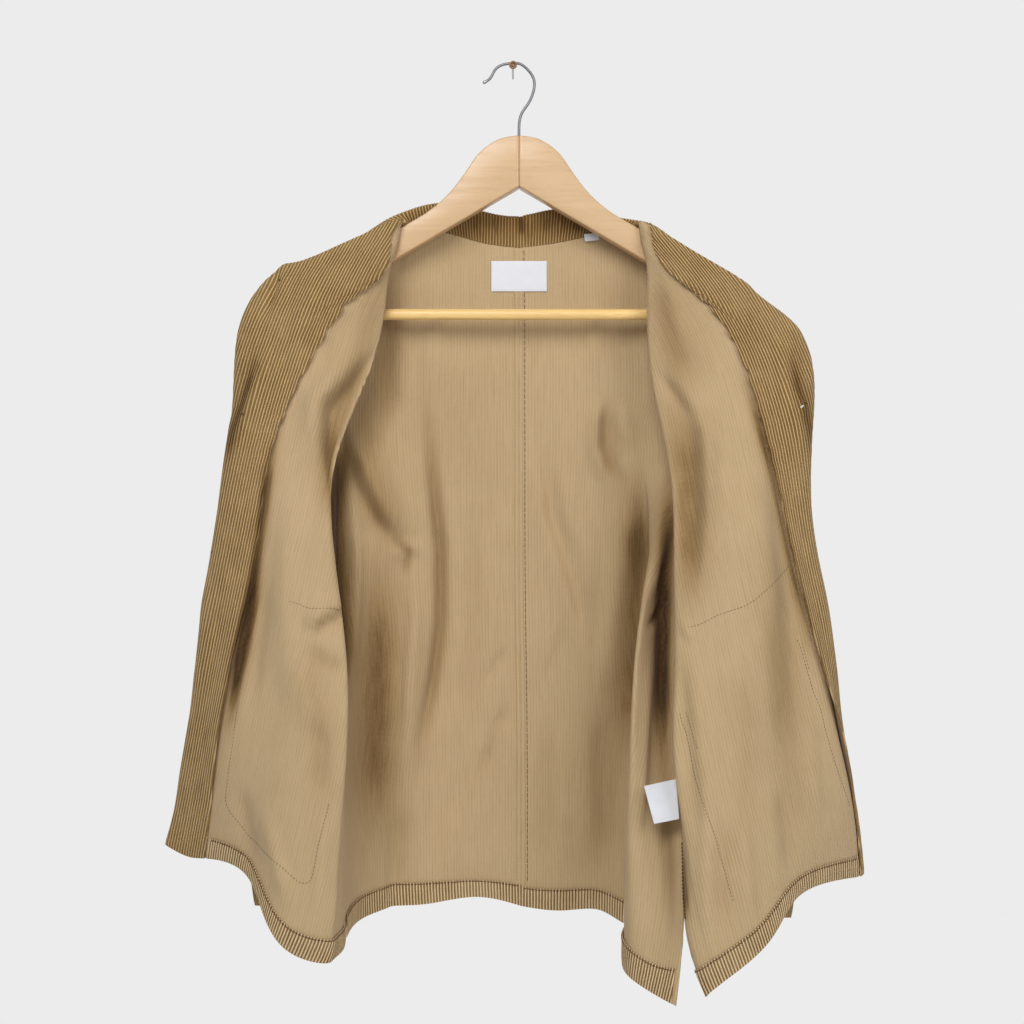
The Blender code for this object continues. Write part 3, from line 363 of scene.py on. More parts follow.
# The left half of the back. Its side folds forward over a valley and faces the front.
LEFT_BACK = (
    LeftBack("shoulder", (6, 182, -24), (38, 178, -22), (79, 170, -16), (116, 161, -12.8), (125, 158, -1.6),
        (133, 163.5, -2), (157, 180.5, -1.6), (192, 202.5, -1.3), (226, 223, -0.9)),
    LeftBack("lap", (6, 197, -25), (39, 192, -24), (80, 185, -20), (116, 174, -14.5), (125, 170, -12.5),
        (133, 174.5, -12.5), (157, 188.5, -12.5), (192, 210.5, -12.5), (226, 232, -12.5)),
    LeftBack("neck", (6, 254, -26), (43, 254, -26), (84, 254, -25), (115, 254, -24), (128, 254, -23),
        (136, 255, -22), (161, 257, -21), (193, 261, -19), (223, 264, -18)),
    LeftBack("chest", (6, 322, -28), (43, 322, -27), (85, 322, -26), (115, 322, -23), (128, 322, -22),
        (136, 322, -21), (159, 322, -19), (191, 318, -17), (220, 310, -17)),
    LeftBack("armhole", (6, 374, -29), (44, 374, -28), (87, 374, -24), (114, 374, -17), (126, 374, -14),
        (133, 374, -13), (155, 375, -9), (187, 372, -9), (214, 362, -12)),
    LeftBack("underarm", (6, 422, -30), (45, 422, -28), (88, 422, -21), (117, 421, -10), (129, 421, -6),
        (135, 420, -2), (155, 418, 12), (179, 414, 11), (199, 406, 12)),
    LeftBack("rib", (6, 504, -30), (46, 504, -28), (91, 504, -22), (123, 504, -9), (137, 504, -3),
        (137, 504, 8), (137, 506, 40), (152, 506, 28), (173, 502, 34)),
    LeftBack("waist", (7, 589, -30), (47, 589, -28), (91, 589, -23), (122, 590, -10), (135, 591, -4),
        (132, 592, 12), (124, 594, 58), (145, 595, 42), (170, 596, 51)),
    LeftBack("pocket", (8, 674, -30), (48, 674, -28), (89, 675, -23), (118, 679, -10), (131, 681, -4),
        (128, 683, 16), (120, 690, 76), (143, 694, 62), (167, 692, 73)),
    LeftBack("low", (8, 759, -30), (49, 759, -28), (87, 760, -22), (115, 767, -8), (127, 770, -2),
        (125, 775, 22), (117, 790, 92), (144, 800, 96), (170, 784, 103)),
    LeftBack("vent", (8, 802, -30), (49, 803, -28), (87, 804, -21), (114, 814, -6), (125, 818, 0),
        (123, 826, 25), (116, 852, 100), (142, 870, 114), (170, 868, 129)),
    LeftBack("hem", (8, 839.5, -29), (50, 844, -27), (87, 843.5, -20), (112, 857, -5), (123, 862.5, 2),
        (121, 874, 28), (115, 907, 106), (138, 926, 130), (163, 940, 150)),
)

# The right sleeve: the ends of each section's long axis, half its depth and how far forward it lies.
SLEEVE = (
    Sleeve("cap", (-243, 241), (-198, 420), 22, -3),
    Sleeve("head", (-258, 286), (-193, 439), 31, -3),
    Sleeve("bicep", (-266, 364), (-187, 468), 38, -5),
    Sleeve("upper", (-271, 464), (-185, 516), 40, -6),
    Sleeve("elbow", (-275, 574), (-182, 598), 38, -6),
    Sleeve("fore", (-273, 679), (-179, 689), 34, -5),
    Sleeve("wrist", (-267, 772), (-177, 774), 29, -3),
)

# The left sleeve is the right one mirrored, and by its cuff it is this much further out and lower.
LEFT_SLEEVE_SPLAY = 8.0
LEFT_SLEEVE_DROP = 12.0
CUFF_DROPS = (0.0, 34.0, 67.0)
CUFF_OUTER_SLOPE = 0.14
CUFF_FULLNESS = 1.0

# The collar, from the right front's point round the neck to the left's.
COLLAR = (
    Collar("right point", "right front", 7.75, (-219, 200.5, 12), (-216, 239, -27), 24),
    Collar("right front", "right front", 7.0, (-210, 195.5, 11), (-211, 236, -32), 22),
    Collar("right shoulder", "right front", 6.5, (-163, 177, 7), (-169, 218, -35), 20),
    Collar("right corner", "right back", 4.0, (-127, 155, -1), (-135, 198, -37), 14),
    Collar("right neck", "right back", 3.0, (-106, 146, -8), (-113, 191, -39), 10),
    Collar("right back", "right back", 2.0, (-72, 138, -15), (-75, 198, -42), 8),
    Collar("right inner", "right back", 1.0, (-31, 146, -20), (-32, 205, -45), 8),
    Collar("centre", "right back", 0.0, (6, 151, -22), (6, 206, -46), 8),
    Collar("left inner", "left back", 1.0, (40, 144.5, -20), (39, 205, -45), 8),
    Collar("left back", "left back", 2.0, (84, 149, -15), (85, 198, -42), 8),
    Collar("left neck", "left back", 3.0, (121, 155, -8), (127, 191, -39), 10),
    Collar("left corner", "left back", 4.0, (138, 158.7, -1), (148, 199, -37), 14),
    Collar("left shoulder", "left front", 6.5, (172, 182.5, 7), (177, 221, -35), 20),
    Collar("left front", "left front", 7.0, (208, 203, 11), (214, 241, -32), 22),
    Collar("left point", "left front", 7.75, (220, 211.3, 12), (223, 246, -27), 24),
)

# A section between the first two rounds the cloth over the hanger, at this share of the way across and
# forward, and at its column's own share of the way down.
CROWN_ACROSS = 0.5
CROWN_FORWARD = 0.7
FRONT_CROWN_DOWN = (0, 0, 0, 0, 0.1, 0.2, 0.35, 0.4, 0.4, 0.4)
BACK_CROWN_DOWN = (0.5, 0.5, 0.5, 0.4, 0.25, 0, 0, 0, 0)

# A front's columns where its facing lies flat and where it ends, its first row, and the hems' row.
FACE_COLUMN = 6.0
EDGE_COLUMN = 9.0
TOP_ROW = 0.03
LAST_ROW = 12.0

# The facings' inner edges: how far they stand off, wave and reach, and over which rows.
FACING_LIFT = 5.0
FACING_LOOSE_ROWS = (4.5, 6.5, 9.4, 10.6)
FACING_LOOSE_CURVE = 1.5
FACING_WAVE = 1.5
FACING_WAVE_ROWS = (0.2, 6.0, 8.0)
FACING_REACH = {"right": 2.7, "left": 0.0}
FACING_REACH_ROWS = 1.5
FACING_SCALLOP = 0.03

# Where each small piece lies on its panel, in the panel's column and row numbers.
SIDE_INSET = 0.15
FACE_INSET = 0.06
HEM_MEASURED_AT = 3.0
POCKET_REGION = (3.6, 5.84, 8.3, 10.7)
CARE_LABEL_CORNERS = ((131, 720, 98), (163.2, 713, 100), (166.2, 753, 116), (141, 758, 112))
SIZE_TAB = ((71, 168, -14.2), (85, 167, -14), (86, 174, -14), (72, 175.5, -14.2))

# The top of an arm, from the neck to the tip, and its underside back to the middle: (from the middle, drop).
ARM_TOP = ((0, 71), (18, 74), (31, 81), (42, 91), (51, 104), (61, 118), (73, 132), (94, 149), (116, 162))
ARM_SHOULDER = (
    (167, 193.5), (203, 216.5), (214, 225), (221, 233), (223, 242), (219, 252), (211, 257), (203, 254),
)
ARM_UNDER = ((202, 238), (124, 195), (0, 122))
HOOK = (
    (-30, 17), (-23, 12.5), (-18, 4), (-11, -1), (-2, -2.6), (6, -2.4), (14, 3), (21, 14),
    (20, 27), (15, 38), (9, 47), (6.4, 56), (6, 64), (6, 71.8),
)

# The columns of a panel that a crease reaches
ALL = (0.0, 99.0)
PANEL = (0.0, 4.6)
STRIP = (5.3, 8.0)
WING = (3.1, 9.0)
UNDER = (3.1, 6.0)
FACING = (6.2, 9.0)
Fold = namedtuple("Fold", "name spine half_width height step shade columns", defaults=(0, 0, 0, None))


def reaching(columns, *folds):
    """The creases, kept to these columns where they name none of their own."""
    return tuple(fold if fold.columns else fold._replace(columns=columns) for fold in folds)


# The main creases, each along a spine of (across, drop) points. height is a soft ridge towards the
# wearer's body, or a trough below 0. step lifts what lies to the right of a spine that runs down, and
# sinks what lies to its left. shade is painted shade: how much darker the cloth's colour is made along
# it, over the painted shade that its trough or wall adds. A crease of shade alone has no relief and is
# painted shade only.
BACK_LEFT_FOLDS = reaching(
    PANEL,
    Fold("crescent shade", ((95, 330), (90, 374), (99, 404), (121, 422)), 6, shade=0.24),
    Fold("under crescent", ((95, 378), (115, 434), (123, 524)), 13, shade=0.14),
    Fold("side shade", ((131, 384), (127, 504), (121, 594), (109, 734)), 12, shade=0.46),
    Fold("low shade", ((101, 574), (93, 694), (87, 844)), 19, shade=0.24),
    Fold("strip shade", ((159, 374), (152, 494), (149, 594), (151, 734)), 8, shade=1.0, columns=STRIP),
    Fold("strip low shade", ((147, 654), (155, 754), (159, 864)), 7, shade=0.34, columns=STRIP),
    Fold("crescent", ((94, 326), (88, 354), (88, 382), (96, 404), (115, 416)), 6, 0, -5),
    Fold("bulge", ((109, 334), (111, 364), (121, 384)), 9, 3.0),
    Fold("side dive", ((127, 384), (123, 454), (114, 534), (108, 614), (105, 684)), 13, 0, -9),
    Fold("side ridge", ((93, 434), (89, 514), (83, 614), (79, 694)), 12, 2.6),
    Fold("drag", ((25, 364), (33, 449), (53, 509), (77, 599)), 7, 0, -3.0),
    Fold("drag lip", ((43, 374), (53, 444), (75, 504)), 9, 1.8),
    Fold("low wall", ((79, 634), (83, 714), (87, 814)), 12, 0, -4.0),
    Fold("low ripple", ((53, 634), (49, 724), (51, 824)), 9, 2.2),
    Fold("centre ease", ((35, 634), (31, 714), (33, 814)), 7, -1.8),
    Fold("neck ease", ((77, 204), (81, 264), (77, 324)), 10, 1.8),
    Fold("small drag", ((53, 544), (43, 584), (27, 624)), 4, -1.2),
    Fold("strip star", ((153, 454), (143, 504), (132, 546)), 5, 2.2, columns=STRIP),
    Fold("strip tuck", ((155, 534), (143, 552), (133, 562)), 4, -3.0, columns=STRIP),
    Fold("strip ridge", ((137, 574), (132, 654), (125, 794)), 5, 2.4, columns=STRIP),
    Fold("strip valley", ((151, 474), (149, 584), (145, 704)), 6, -5.0, columns=STRIP),
    Fold("strip low", ((151, 734), (155, 804), (153, 884)), 6, -2.4, columns=STRIP),
)
BACK_RIGHT_FOLDS = reaching(
    ALL,
    Fold("upper shade", ((-63, 274), (-61, 354), (-59, 434)), 48, shade=0.07),
    Fold("drag shade", ((-151, 304), (-145, 394), (-129, 454), (-105, 500)), 14, shade=0.34),
    Fold("pleat shade", ((-133, 434), (-136, 574), (-139, 694), (-143, 834)), 22, shade=0.42),
    Fold("valley shade", ((-93, 274), (-81, 409), (-73, 484), (-74, 564), (-83, 634), (-97, 734)),
         6.5, shade=0.26),
    Fold("hinge shade", ((-173, 344), (-177, 454), (-172, 534), (-163, 654)), 8, shade=1.25),
    Fold("shoulder shade", ((-119, 204), (-125, 294), (-133, 384)), 14, shade=0.34),
    Fold("drag wall", ((-163, 370), (-151, 416), (-133, 451), (-109, 482)), 8, 0, 7.5),
    Fold("drag lip", ((-141, 374), (-123, 430), (-99, 472)), 9, 2.6),
    Fold("star", ((-127, 494), (-105, 480), (-85, 486)), 5, 2.4),
    Fold("star tuck", ((-123, 470), (-104, 486), (-109, 514)), 4, -1.6, 0, 0.3),
    Fold("pleat wall", ((-115, 490), (-129, 554), (-133, 654), (-133, 784)), 17, 0, 7.0),
    Fold("pleat ridge", ((-101, 484), (-98, 554), (-103, 634), (-107, 714)), 9, 4.0),
    Fold("pleat valley", ((-89, 334), (-79, 414), (-72, 484), (-72, 554), (-80, 614), (-92, 674),
         (-95, 734)), 6.5, -5.6),
    Fold("hinge hollow", ((-172, 334), (-170, 414), (-168, 494), (-165, 594)), 7, -9.0, columns=(5.0, 7.0)),
    Fold("edge strip", ((-157, 434), (-156, 534), (-156, 634)), 6, 3.0),
    Fold("centre drag", ((-7, 579), (-29, 618)), 4, -1.8),
    Fold("low drag", ((-1, 628), (-21, 670), (-35, 718)), 5, -2.4),
    Fold("low drag lip", ((-11, 654), (-27, 690)), 6, 1.6),
    Fold("waist ease", ((-43, 404), (-39, 534), (-45, 694)), 9, -2.0),
    Fold("hem ripple", ((-61, 734), (-61, 784), (-65, 830)), 9, 2.0),
    Fold("hem dip", ((-113, 734), (-115, 794), (-121, 830)), 10, -2.4),
    Fold("neck ease", ((-73, 194), (-81, 264), (-83, 334)), 10, 1.8),
    Fold("shoulder pull", ((-121, 254), (-125, 304), (-117, 364)), 10, -2.2),
)
FRONT_RIGHT_FOLDS = reaching(
    WING,
    # Painted shadow cast on the front by the facing's loose inner edge.
    Fold("under facing", ((-229, 338), (-244, 384), (-254, 454), (-264, 534), (-276, 604), (-289, 684)),
         6, shade=2.2, columns=UNDER),
    Fold("arm shade", ((-151, 284), (-171, 344), (-177, 394), (-177, 474)), 15, shade=0.42),
    Fold("wedge shade", ((-183, 346), (-184, 394), (-178, 464)), 8, shade=0.26),
    Fold("top shade", ((-129, 184), (-143, 254), (-167, 344)), 14, shade=0.26),
    Fold("low shade", ((-201, 584), (-195, 674), (-195, 784)), 16, shade=0.12),
    Fold("arm drag", ((-137, 274), (-165, 316), (-187, 338), (-190, 374), (-185, 424)), 9, 0, -7.0),
    Fold("arm lip", ((-149, 264), (-177, 304), (-201, 336), (-207, 384)), 10, 3.0),
    Fold("hinge wall", ((-179, 404), (-179, 474), (-173, 534)), 6, 0, -4.0),
    Fold("crumple", ((-163, 542), (-185, 552), (-209, 568)), 6, 0, -3.2, 0.2),
    Fold("crumple lip", ((-167, 534), (-191, 544), (-213, 562)), 7, 1.6),
    Fold("crumple under", ((-163, 602), (-189, 594), (-211, 578)), 7, -2.0, 0, 0.12),
    Fold("crumple tail", ((-207, 574), (-201, 624), (-183, 674)), 9, 0, -3.6),
    Fold("patch", ((-197, 640), (-191, 684), (-195, 734)), 9, -3.2),
    Fold("wing ridge", ((-223, 414), (-227, 534), (-223, 654)), 13, 2.8),
    Fold("edge valley", ((-245, 494), (-255, 574), (-263, 654)), 9, -2.6),
    Fold("hem ripple", ((-251, 734), (-237, 790), (-221, 850)), 8, 2.6),
    Fold("hem dip", ((-273, 714), (-267, 760), (-255, 804)), 8, -2.4),
    Fold("sill", ((-189, 734), (-191, 794), (-195, 864)), 8, 2.0),
    Fold("upper ease", ((-161, 234), (-181, 274), (-199, 306)), 9, -2.0),
)
FRONT_LEFT_FOLDS = reaching(
    WING,
    # Painted shadow cast on the front by the facing's loose inner edge.
    Fold("under facing", ((228, 284), (244, 344), (265, 414), (280, 474), (293, 534), (309, 614)),
         6, shade=1.4, columns=UNDER),
    # Painted shade along the vent's opening.
    Fold("vent shade", ((168, 770), (171, 814), (175, 860)), 3.5, shade=0.9, columns=ALL),
    Fold("hinge shade", ((154, 304), (171, 374), (174, 464), (171, 574)), 19, shade=0.5),
    Fold("top shade", ((145, 184), (155, 264), (177, 344)), 12, shade=0.25),
    Fold("valley shade", ((255, 434), (271, 614), (283, 804)), 20, shade=0.2),
    Fold("edge shade", ((225, 574), (231, 694), (233, 814)), 11, shade=0.12),
    Fold("hinge wall", ((181, 326), (186, 374), (188, 454), (181, 548)), 9, 0, 4.5),
    Fold("arm ridge", ((147, 284), (177, 330), (195, 374), (199, 494)), 10, 3.0),
    Fold("arm drag", ((143, 306), (163, 330), (179, 354)), 6, -3.0),
    Fold("seam tuck", ((167, 556), (177, 568), (187, 574)), 5, 3.0),
    Fold("low hinge", ((171, 574), (181, 674), (191, 774)), 9, 0, 3.0),
    Fold("wing valley", ((239, 354), (255, 434), (265, 524), (273, 634), (277, 724)), 14, 0, -5.0),
    Fold("shadow valley", ((257, 534), (263, 614), (273, 704)), 10, -2.4),
    Fold("wing ridge", ((215, 574), (225, 654), (239, 734)), 14, 2.6),
    Fold("pocket ease", ((293, 634), (299, 694), (307, 764)), 8, 2.0),
    Fold("hem ripple", ((229, 734), (233, 814), (235, 879)), 9, 3.0),
    Fold("hem dip", ((267, 714), (275, 774), (281, 814)), 8, -2.6),
    Fold("vent ease", ((195, 694), (193, 794), (191, 894)), 8, 2.4),
    Fold("vent dip", ((211, 734), (209, 814), (209, 884)), 7, -2.4),
    Fold("neck ease", ((151, 204), (163, 254), (181, 294)), 8, 1.8),
    Fold("upper shade", ((149, 204), (167, 264), (191, 334)), 24, shade=0.16),
)
FACING_RIGHT_FOLDS = reaching(
    FACING,
    Fold("ridge", ((-239, 274), (-251, 306), (-267, 346), (-281, 390)), 6, 1.0, 1.2),
    Fold("ridge shade", ((-251, 274), (-265, 324), (-277, 364), (-291, 418)), 5, shade=0.7),
    Fold("outer hollow", ((-257, 284), (-267, 326), (-281, 364)), 8, -1.0),
    Fold("top pull", ((-230, 199), (-235, 220), (-247, 260)), 5, -2.2),
    Fold("shoulder ease", ((-183, 196), (-201, 234), (-215, 284)), 12, 1.8),
    Fold("low ease", ((-301, 494), (-305, 574), (-317, 654)), 8, 1.4),
)
FACING_LEFT_FOLDS = reaching(
    FACING,
    Fold("ridge", ((262, 251), (271, 314), (281, 354), (295, 402)), 6, 0.8, -0.6),
    Fold("ridge shade", ((275, 274), (283, 318), (293, 358), (299, 404)), 5, shade=0.6),
    Fold("outer hollow", ((283, 264), (287, 300), (285, 320)), 8, -1.0),
    Fold("buttonhole pucker", ((281, 330), (287, 342), (283, 354)), 5, 1.2),
    Fold("collar roll", ((139, 170), (159, 184), (181, 202)), 6, 1.0),
    Fold("low ease", ((299, 494), (311, 574), (325, 654)), 7, 1.2),
)
COLLAR_FOLDS = (
    # Painted shadow of the hanger over the collar's stand.
    Fold("stand shade", ((-133, 160), (-43, 156), (8, 156), (67, 156), (153, 170)), 20, shade=0.5),
    Fold("notch", ((8, 146), (8, 156), (9, 172)), 3, -1.2, 0, 0.3),
    Fold("notch lip", ((15, 148), (17, 160), (15, 174)), 3.5, 2.0),
    Fold("gather 1", ((-35, 148), (-33, 160), (-31, 172)), 3.5, 2.0),
    Fold("gather 2", ((-21, 148), (-18, 162), (-15, 174)), 3, -1.8),
    Fold("gather 3", ((35, 148), (33, 160), (32, 172)), 3.5, -1.8),
    Fold("gather 4", ((49, 146), (47, 158), (45, 170)), 3.5, 1.8),
    Fold("gather 5", ((67, 148), (65, 156), (63, 166)), 3, -1.6),
)
# Creases across the sleeves, which hang behind the fronts.
SLEEVE_RIGHT_FOLDS = (
    Fold("cap pull", ((-251, 264), (-223, 314), (-191, 354)), 9, 2.4),
    Fold("elbow ridge", ((-273, 534), (-237, 556), (-195, 544)), 8, 3.0, 1.0),
    Fold("elbow trough", ((-273, 564), (-237, 582), (-191, 574)), 8, -2.6),
    Fold("upper drag", ((-257, 404), (-223, 434), (-191, 494)), 10, 2.2),
    Fold("fore crease", ((-267, 674), (-233, 654), (-187, 664)), 7, -2.2),
    Fold("wrist ridge", ((-263, 726), (-227, 734), (-183, 724)), 7, 1.8),
)
SLEEVE_LEFT_FOLDS = (
    Fold("cap pull", ((257, 264), (227, 318), (203, 358)), 10, 2.2),
    Fold("elbow ridge", ((281, 524), (243, 550), (203, 534)), 9, 2.8, -1.0),
    Fold("elbow trough", ((283, 556), (245, 582), (203, 568)), 8, -2.8),
    Fold("upper drag", ((267, 394), (231, 444), (209, 490)), 9, -2.0),
    Fold("fore crease", ((277, 654), (243, 678), (203, 662)), 8, 2.2),
    Fold("wrist ridge", ((273, 734), (239, 724), (203, 736)), 7, -1.6),
)


# ---------------------------------------------------------------- measuring


def place(point):
    """The true position, in millimetres, of a point of the perspective elevation."""
    across, drop, forward = point
    nearness = 1.0 - forward / EYE_DISTANCE
    return np.array(
        (EYE_ACROSS + (across - EYE_ACROSS) * nearness, -forward, -EYE_DROP - (drop - EYE_DROP) * nearness)
    )


def on_elevation(points):
    """Where true positions show on the perspective elevation: (across, drop)."""
    nearness = 1.0 + points[..., 1] / EYE_DISTANCE
    across = EYE_ACROSS + (points[..., 0] - EYE_ACROSS) / nearness
    drop = EYE_DROP + (-points[..., 2] - EYE_DROP) / nearness
    return np.stack((across, drop), axis=-1)


def spline_weights(knots_and_hole_shade, at):
    """The matrix that turns values at the knots into values of a natural cubic spline at the places `at`."""
    count = len(knots_and_hole_shade)
    gap = np.diff(knots_and_hole_shade)
    left_side = np.eye(count)
    right_side = np.zeros((count, count))
    for i in range(1, count - 1):
        left_side[i, i - 1 : i + 2] = gap[i - 1], 2 * (gap[i - 1] + gap[i]), gap[i]
        right_side[i, i - 1 : i + 2] = 6 / gap[i - 1], -6 / gap[i - 1] - 6 / gap[i], 6 / gap[i]
    bend = np.linalg.solve(left_side, right_side)
    span = np.clip(np.searchsorted(knots_and_hole_shade, at) - 1, 0, count - 2)
    before = at - knots_and_hole_shade[span]
    after = knots_and_hole_shade[span + 1] - at
    width = gap[span]
    weights = ((after**3 / width - after * width) / 6)[:, None] * bend[span]
    weights += ((before**3 / width - before * width) / 6)[:, None] * bend[span + 1]
    line = np.arange(len(at))
    weights[line, span] += after / width
    weights[line, span + 1] += before / width
    return weights


def through(points, places):
    """Points at fractional row numbers `places` on a smooth curve through `points`."""
    points = np.asarray(points, float)
    lengths = np.maximum(np.linalg.norm(np.diff(points, axis=0), axis=1), LEAST_CHORD) ** CHORD_POWER
    knots_and_hole_shade = np.concatenate(([0.0], np.cumsum(lengths)))
    places = np.asarray(places, float)
    whole = np.clip(places.astype(int), 0, len(lengths) - 1)
    at = knots_and_hole_shade[whole] + (places - whole) * lengths[whole]
    return spline_weights(knots_and_hole_shade, at) @ points


def run_along(points):
    """The distance to each point along a line of them, from 0 at its first."""
    return np.concatenate(([0.0], np.cumsum(np.linalg.norm(np.diff(points, axis=0), axis=1))))


def soft_step(share):
    """Rises smoothly from 0 to 1 as the share does, and stays there outside those."""
    share = np.clip(share, 0.0, 1.0)
    return share * share * (3 - 2 * share)


def fold_heights(points, folds, columns=None):
    """How far the folds lift each point, by its place on the elevation, and the painted shade it takes."""
    flat = on_elevation(points)
    total, hollow = np.zeros(flat.shape[:-1]), np.zeros(flat.shape[:-1])
    for fold in folds:
        spine = np.array(fold.spine, float)
        runs = np.diff(spine, axis=0)
        lengths = np.linalg.norm(runs, axis=1)
        starts = np.concatenate(([0.0], np.cumsum(lengths)))
        nearest = np.full(total.shape, np.inf)
        aside = np.zeros(total.shape)
        along = np.zeros(total.shape)
        for start, run, length, before in zip(spine, runs, lengths, starts):
            offset = flat - start
            share = np.clip((offset @ run) / length**2, 0, 1)
            away = offset - share[..., None] * run
            distance = np.linalg.norm(away, axis=-1)
            closer = distance < nearest
            side = np.sign(offset[..., 0] * run[1] - offset[..., 1] * run[0])
            nearest = np.where(closer, distance, nearest)
            aside = np.where(closer, side * distance, aside)
            along = np.where(closer, before + share * length, along)
        share = along / starts[-1]
        fade = soft_step(share / FOLD_FADE) * soft_step((1 - share) / FOLD_FADE)
        across = aside / fold.half_width
        if columns is not None:
            inside = np.minimum(columns - fold.columns[0], fold.columns[1] - columns)
            fade = fade * soft_step(inside / COLUMN_FADE + 0.5)
        total += fade * FOLD_DEPTH * fold.height * np.exp(-(across**2))
        step = np.tanh(STEP_SHARPNESS * across) * np.exp(-((across / STEP_REACH) ** 2))
        total += fade * FOLD_DEPTH * fold.step * step
        # Painted shade along the spine: the crease's own shade, and more for each millimetre of trough or
        # wall.
        shade = fold.shade + TROUGH_PAINTED_SHADE * max(0.0, -fold.height) + WALL_PAINTED_SHADE * abs(fold.step)
        hollow += fade * shade * np.exp(-((across / PAINTED_SHADE_REACH) ** 2))
    return total, np.clip(hollow, 0, 1)


def grid_normals(grid):
    """For each point of a grid, the move that takes all of its faces out by one unit."""
    faces = np.cross(grid[1:, 1:] - grid[:-1, :-1], grid[1:, :-1] - grid[:-1, 1:])
    faces /= np.maximum(np.linalg.norm(faces, axis=2, keepdims=True), 1e-9)
    around = np.pad(faces, ((1, 1), (1, 1), (0, 0)), mode="edge")
    corners = (around[1:, 1:], around[1:, :-1], around[:-1, 1:], around[:-1, :-1])
    normals = sum(corners)
    normals /= np.maximum(np.linalg.norm(normals, axis=2, keepdims=True), 1e-9)
    spread = sum((normals * corner).sum(axis=2, keepdims=True) for corner in corners) / 4
    return normals / np.maximum(spread, LEAST_SPREAD)


class Panel:
    """A smooth sheet through a table of sections, read at fractional column and row numbers.

    Its second section is worked out from the first and the next, to round the cloth over the hanger.
    inside is the side of its normals, 1 or -1, that faces the wearer's body.
    """

    def __init__(self, sections, crown_down, inside, folds):
        rows = np.array(sections, float)
        share = np.array([(CROWN_ACROSS, down, CROWN_FORWARD) for down in crown_down[: rows.shape[1]]])
        crown = rows[0] + (rows[1] - rows[0]) * share
        rows = np.concatenate((rows[:1], [crown], rows[1:]))
        self.sections = np.array([[place(point) for point in row] for row in rows])
        self.last_column = float(self.sections.shape[1] - 1)
        self.inside = inside
        self.folds = folds
        self.hem_row = LAST_ROW - self.rows_in(HEM_HEIGHT, HEM_MEASURED_AT)
        columns = np.linspace(0.0, self.last_column, int(self.last_column * MAP_FINENESS) + 1)
        rows = np.linspace(0.0, LAST_ROW, int(LAST_ROW * MAP_FINENESS) + 1)
        self.map = self.folded(columns, rows)[0]
        self.map_normals = grid_normals(self.map) * inside

    def points(self, columns, rows):
        """The smooth sheet without its folds."""
        lines = np.array([through(section, columns) for section in self.sections])
        return np.array([through(lines[:, i], rows) for i in range(len(columns))]).transpose(1, 0, 2)

    def folded(self, columns, rows):
        """The panel's middle surface with its folds, and the painted shade at each point of it."""
        flat = self.points(columns, rows)
        lift, hollow = fold_heights(flat, self.folds, np.asarray(columns, float))
        return flat + grid_normals(flat) * (lift * self.inside)[..., None], hollow

    def rows_in(self, reach, column):
        """How many rows `reach` millimetres are, up from the hem."""
        above, below = self.points([column], [LAST_ROW - 1, LAST_ROW])[:, 0]
        return reach / np.linalg.norm(above - below)

    def even_rows(self, first, last, column, step):
        """Row numbers about `step` millimetres apart along a column."""
        fine = np.linspace(first, last, FINE_ROWS)
        run = run_along(self.points([column], fine)[:, 0])
        count = max(int(round(run[-1] / step)), 2)
        return np.interp(np.linspace(0, run[-1], count + 1), run, fine)

    def over(self, across, drop):
        """The folded surface's forward distance at one place on the elevation."""
        away = np.linalg.norm(on_elevation(self.map) - (across, drop), axis=2).ravel()
        nearest = np.argsort(away)[:6]
        weights = 1 / (away[nearest] + 0.2) ** 2
        weights /= weights.sum()
        return -(self.map.reshape(-1, 3)[nearest, 1] @ weights)

    def at(self, columns, rows):
        """Points of the folded surface and its normals towards the wearer, read off the map."""
        across = np.clip(np.asarray(columns, float) * MAP_FINENESS, 0, self.map.shape[1] - 1.001)
        down = np.clip(np.asarray(rows, float) * MAP_FINENESS, 0, self.map.shape[0] - 1.001)
        j, i = across.astype(int), down.astype(int)
        s, t = (across - j)[:, None], (down - i)[:, None]

        def read(values):
            top = values[i, j] * (1 - s) + values[i, j + 1] * s
            return top * (1 - t) + (values[i + 1, j] * (1 - s) + values[i + 1, j + 1] * s) * t

        return read(self.map), read(self.map_normals)

    def find(self, path, first_column, last_column):
        """Column and row numbers where a path on the elevation crosses the panel, at even steps."""
        path = np.array(path, float)
        run = run_along(path)
        spots = np.linspace(0, run[-1], max(int(run[-1] / PATH_STEP), 2))
        path = np.stack([np.interp(spots, run, path[:, k]) for k in (0, 1)], axis=1)
        first, last = int(first_column * MAP_FINENESS), int(last_column * MAP_FINENESS) + 1
        flat = on_elevation(self.map[:, first:last])
        found = []
        for spot in path:
            distance = np.linalg.norm(flat - spot, axis=2)
            i, j = np.unravel_index(distance.argmin(), distance.shape)
            found.append(((j + first) / MAP_FINENESS, i / MAP_FINENESS))
        found = np.array(found)
        if len(found) > 6:
            padded = np.pad(found, ((3, 3), (0, 0)), mode="edge")
            found[1:-1] = sum(padded[k : k + len(found)] for k in range(7))[1:-1] / 7
        return found[:, 0], found[:, 1]


def front_sections(table, inward):
    """The rows of a front, each with the true edge that is tucked back behind its brow."""
    sections = []
    for row in table:
        across, drop, forward = row.brow
        edge = (across + inward * 0.3 * row.tuck, drop + 1, forward - row.tuck)
        sections.append((*row[1:-1], edge))
    return sections


# ---------------------------------------------------------------- cloth


def sizes():
    return bpy.context.scene.jacket_sizes


# hollow is the painted shade that each point takes from the creases.
Laid = namedtuple("Laid", "points normals across along ids hollow")


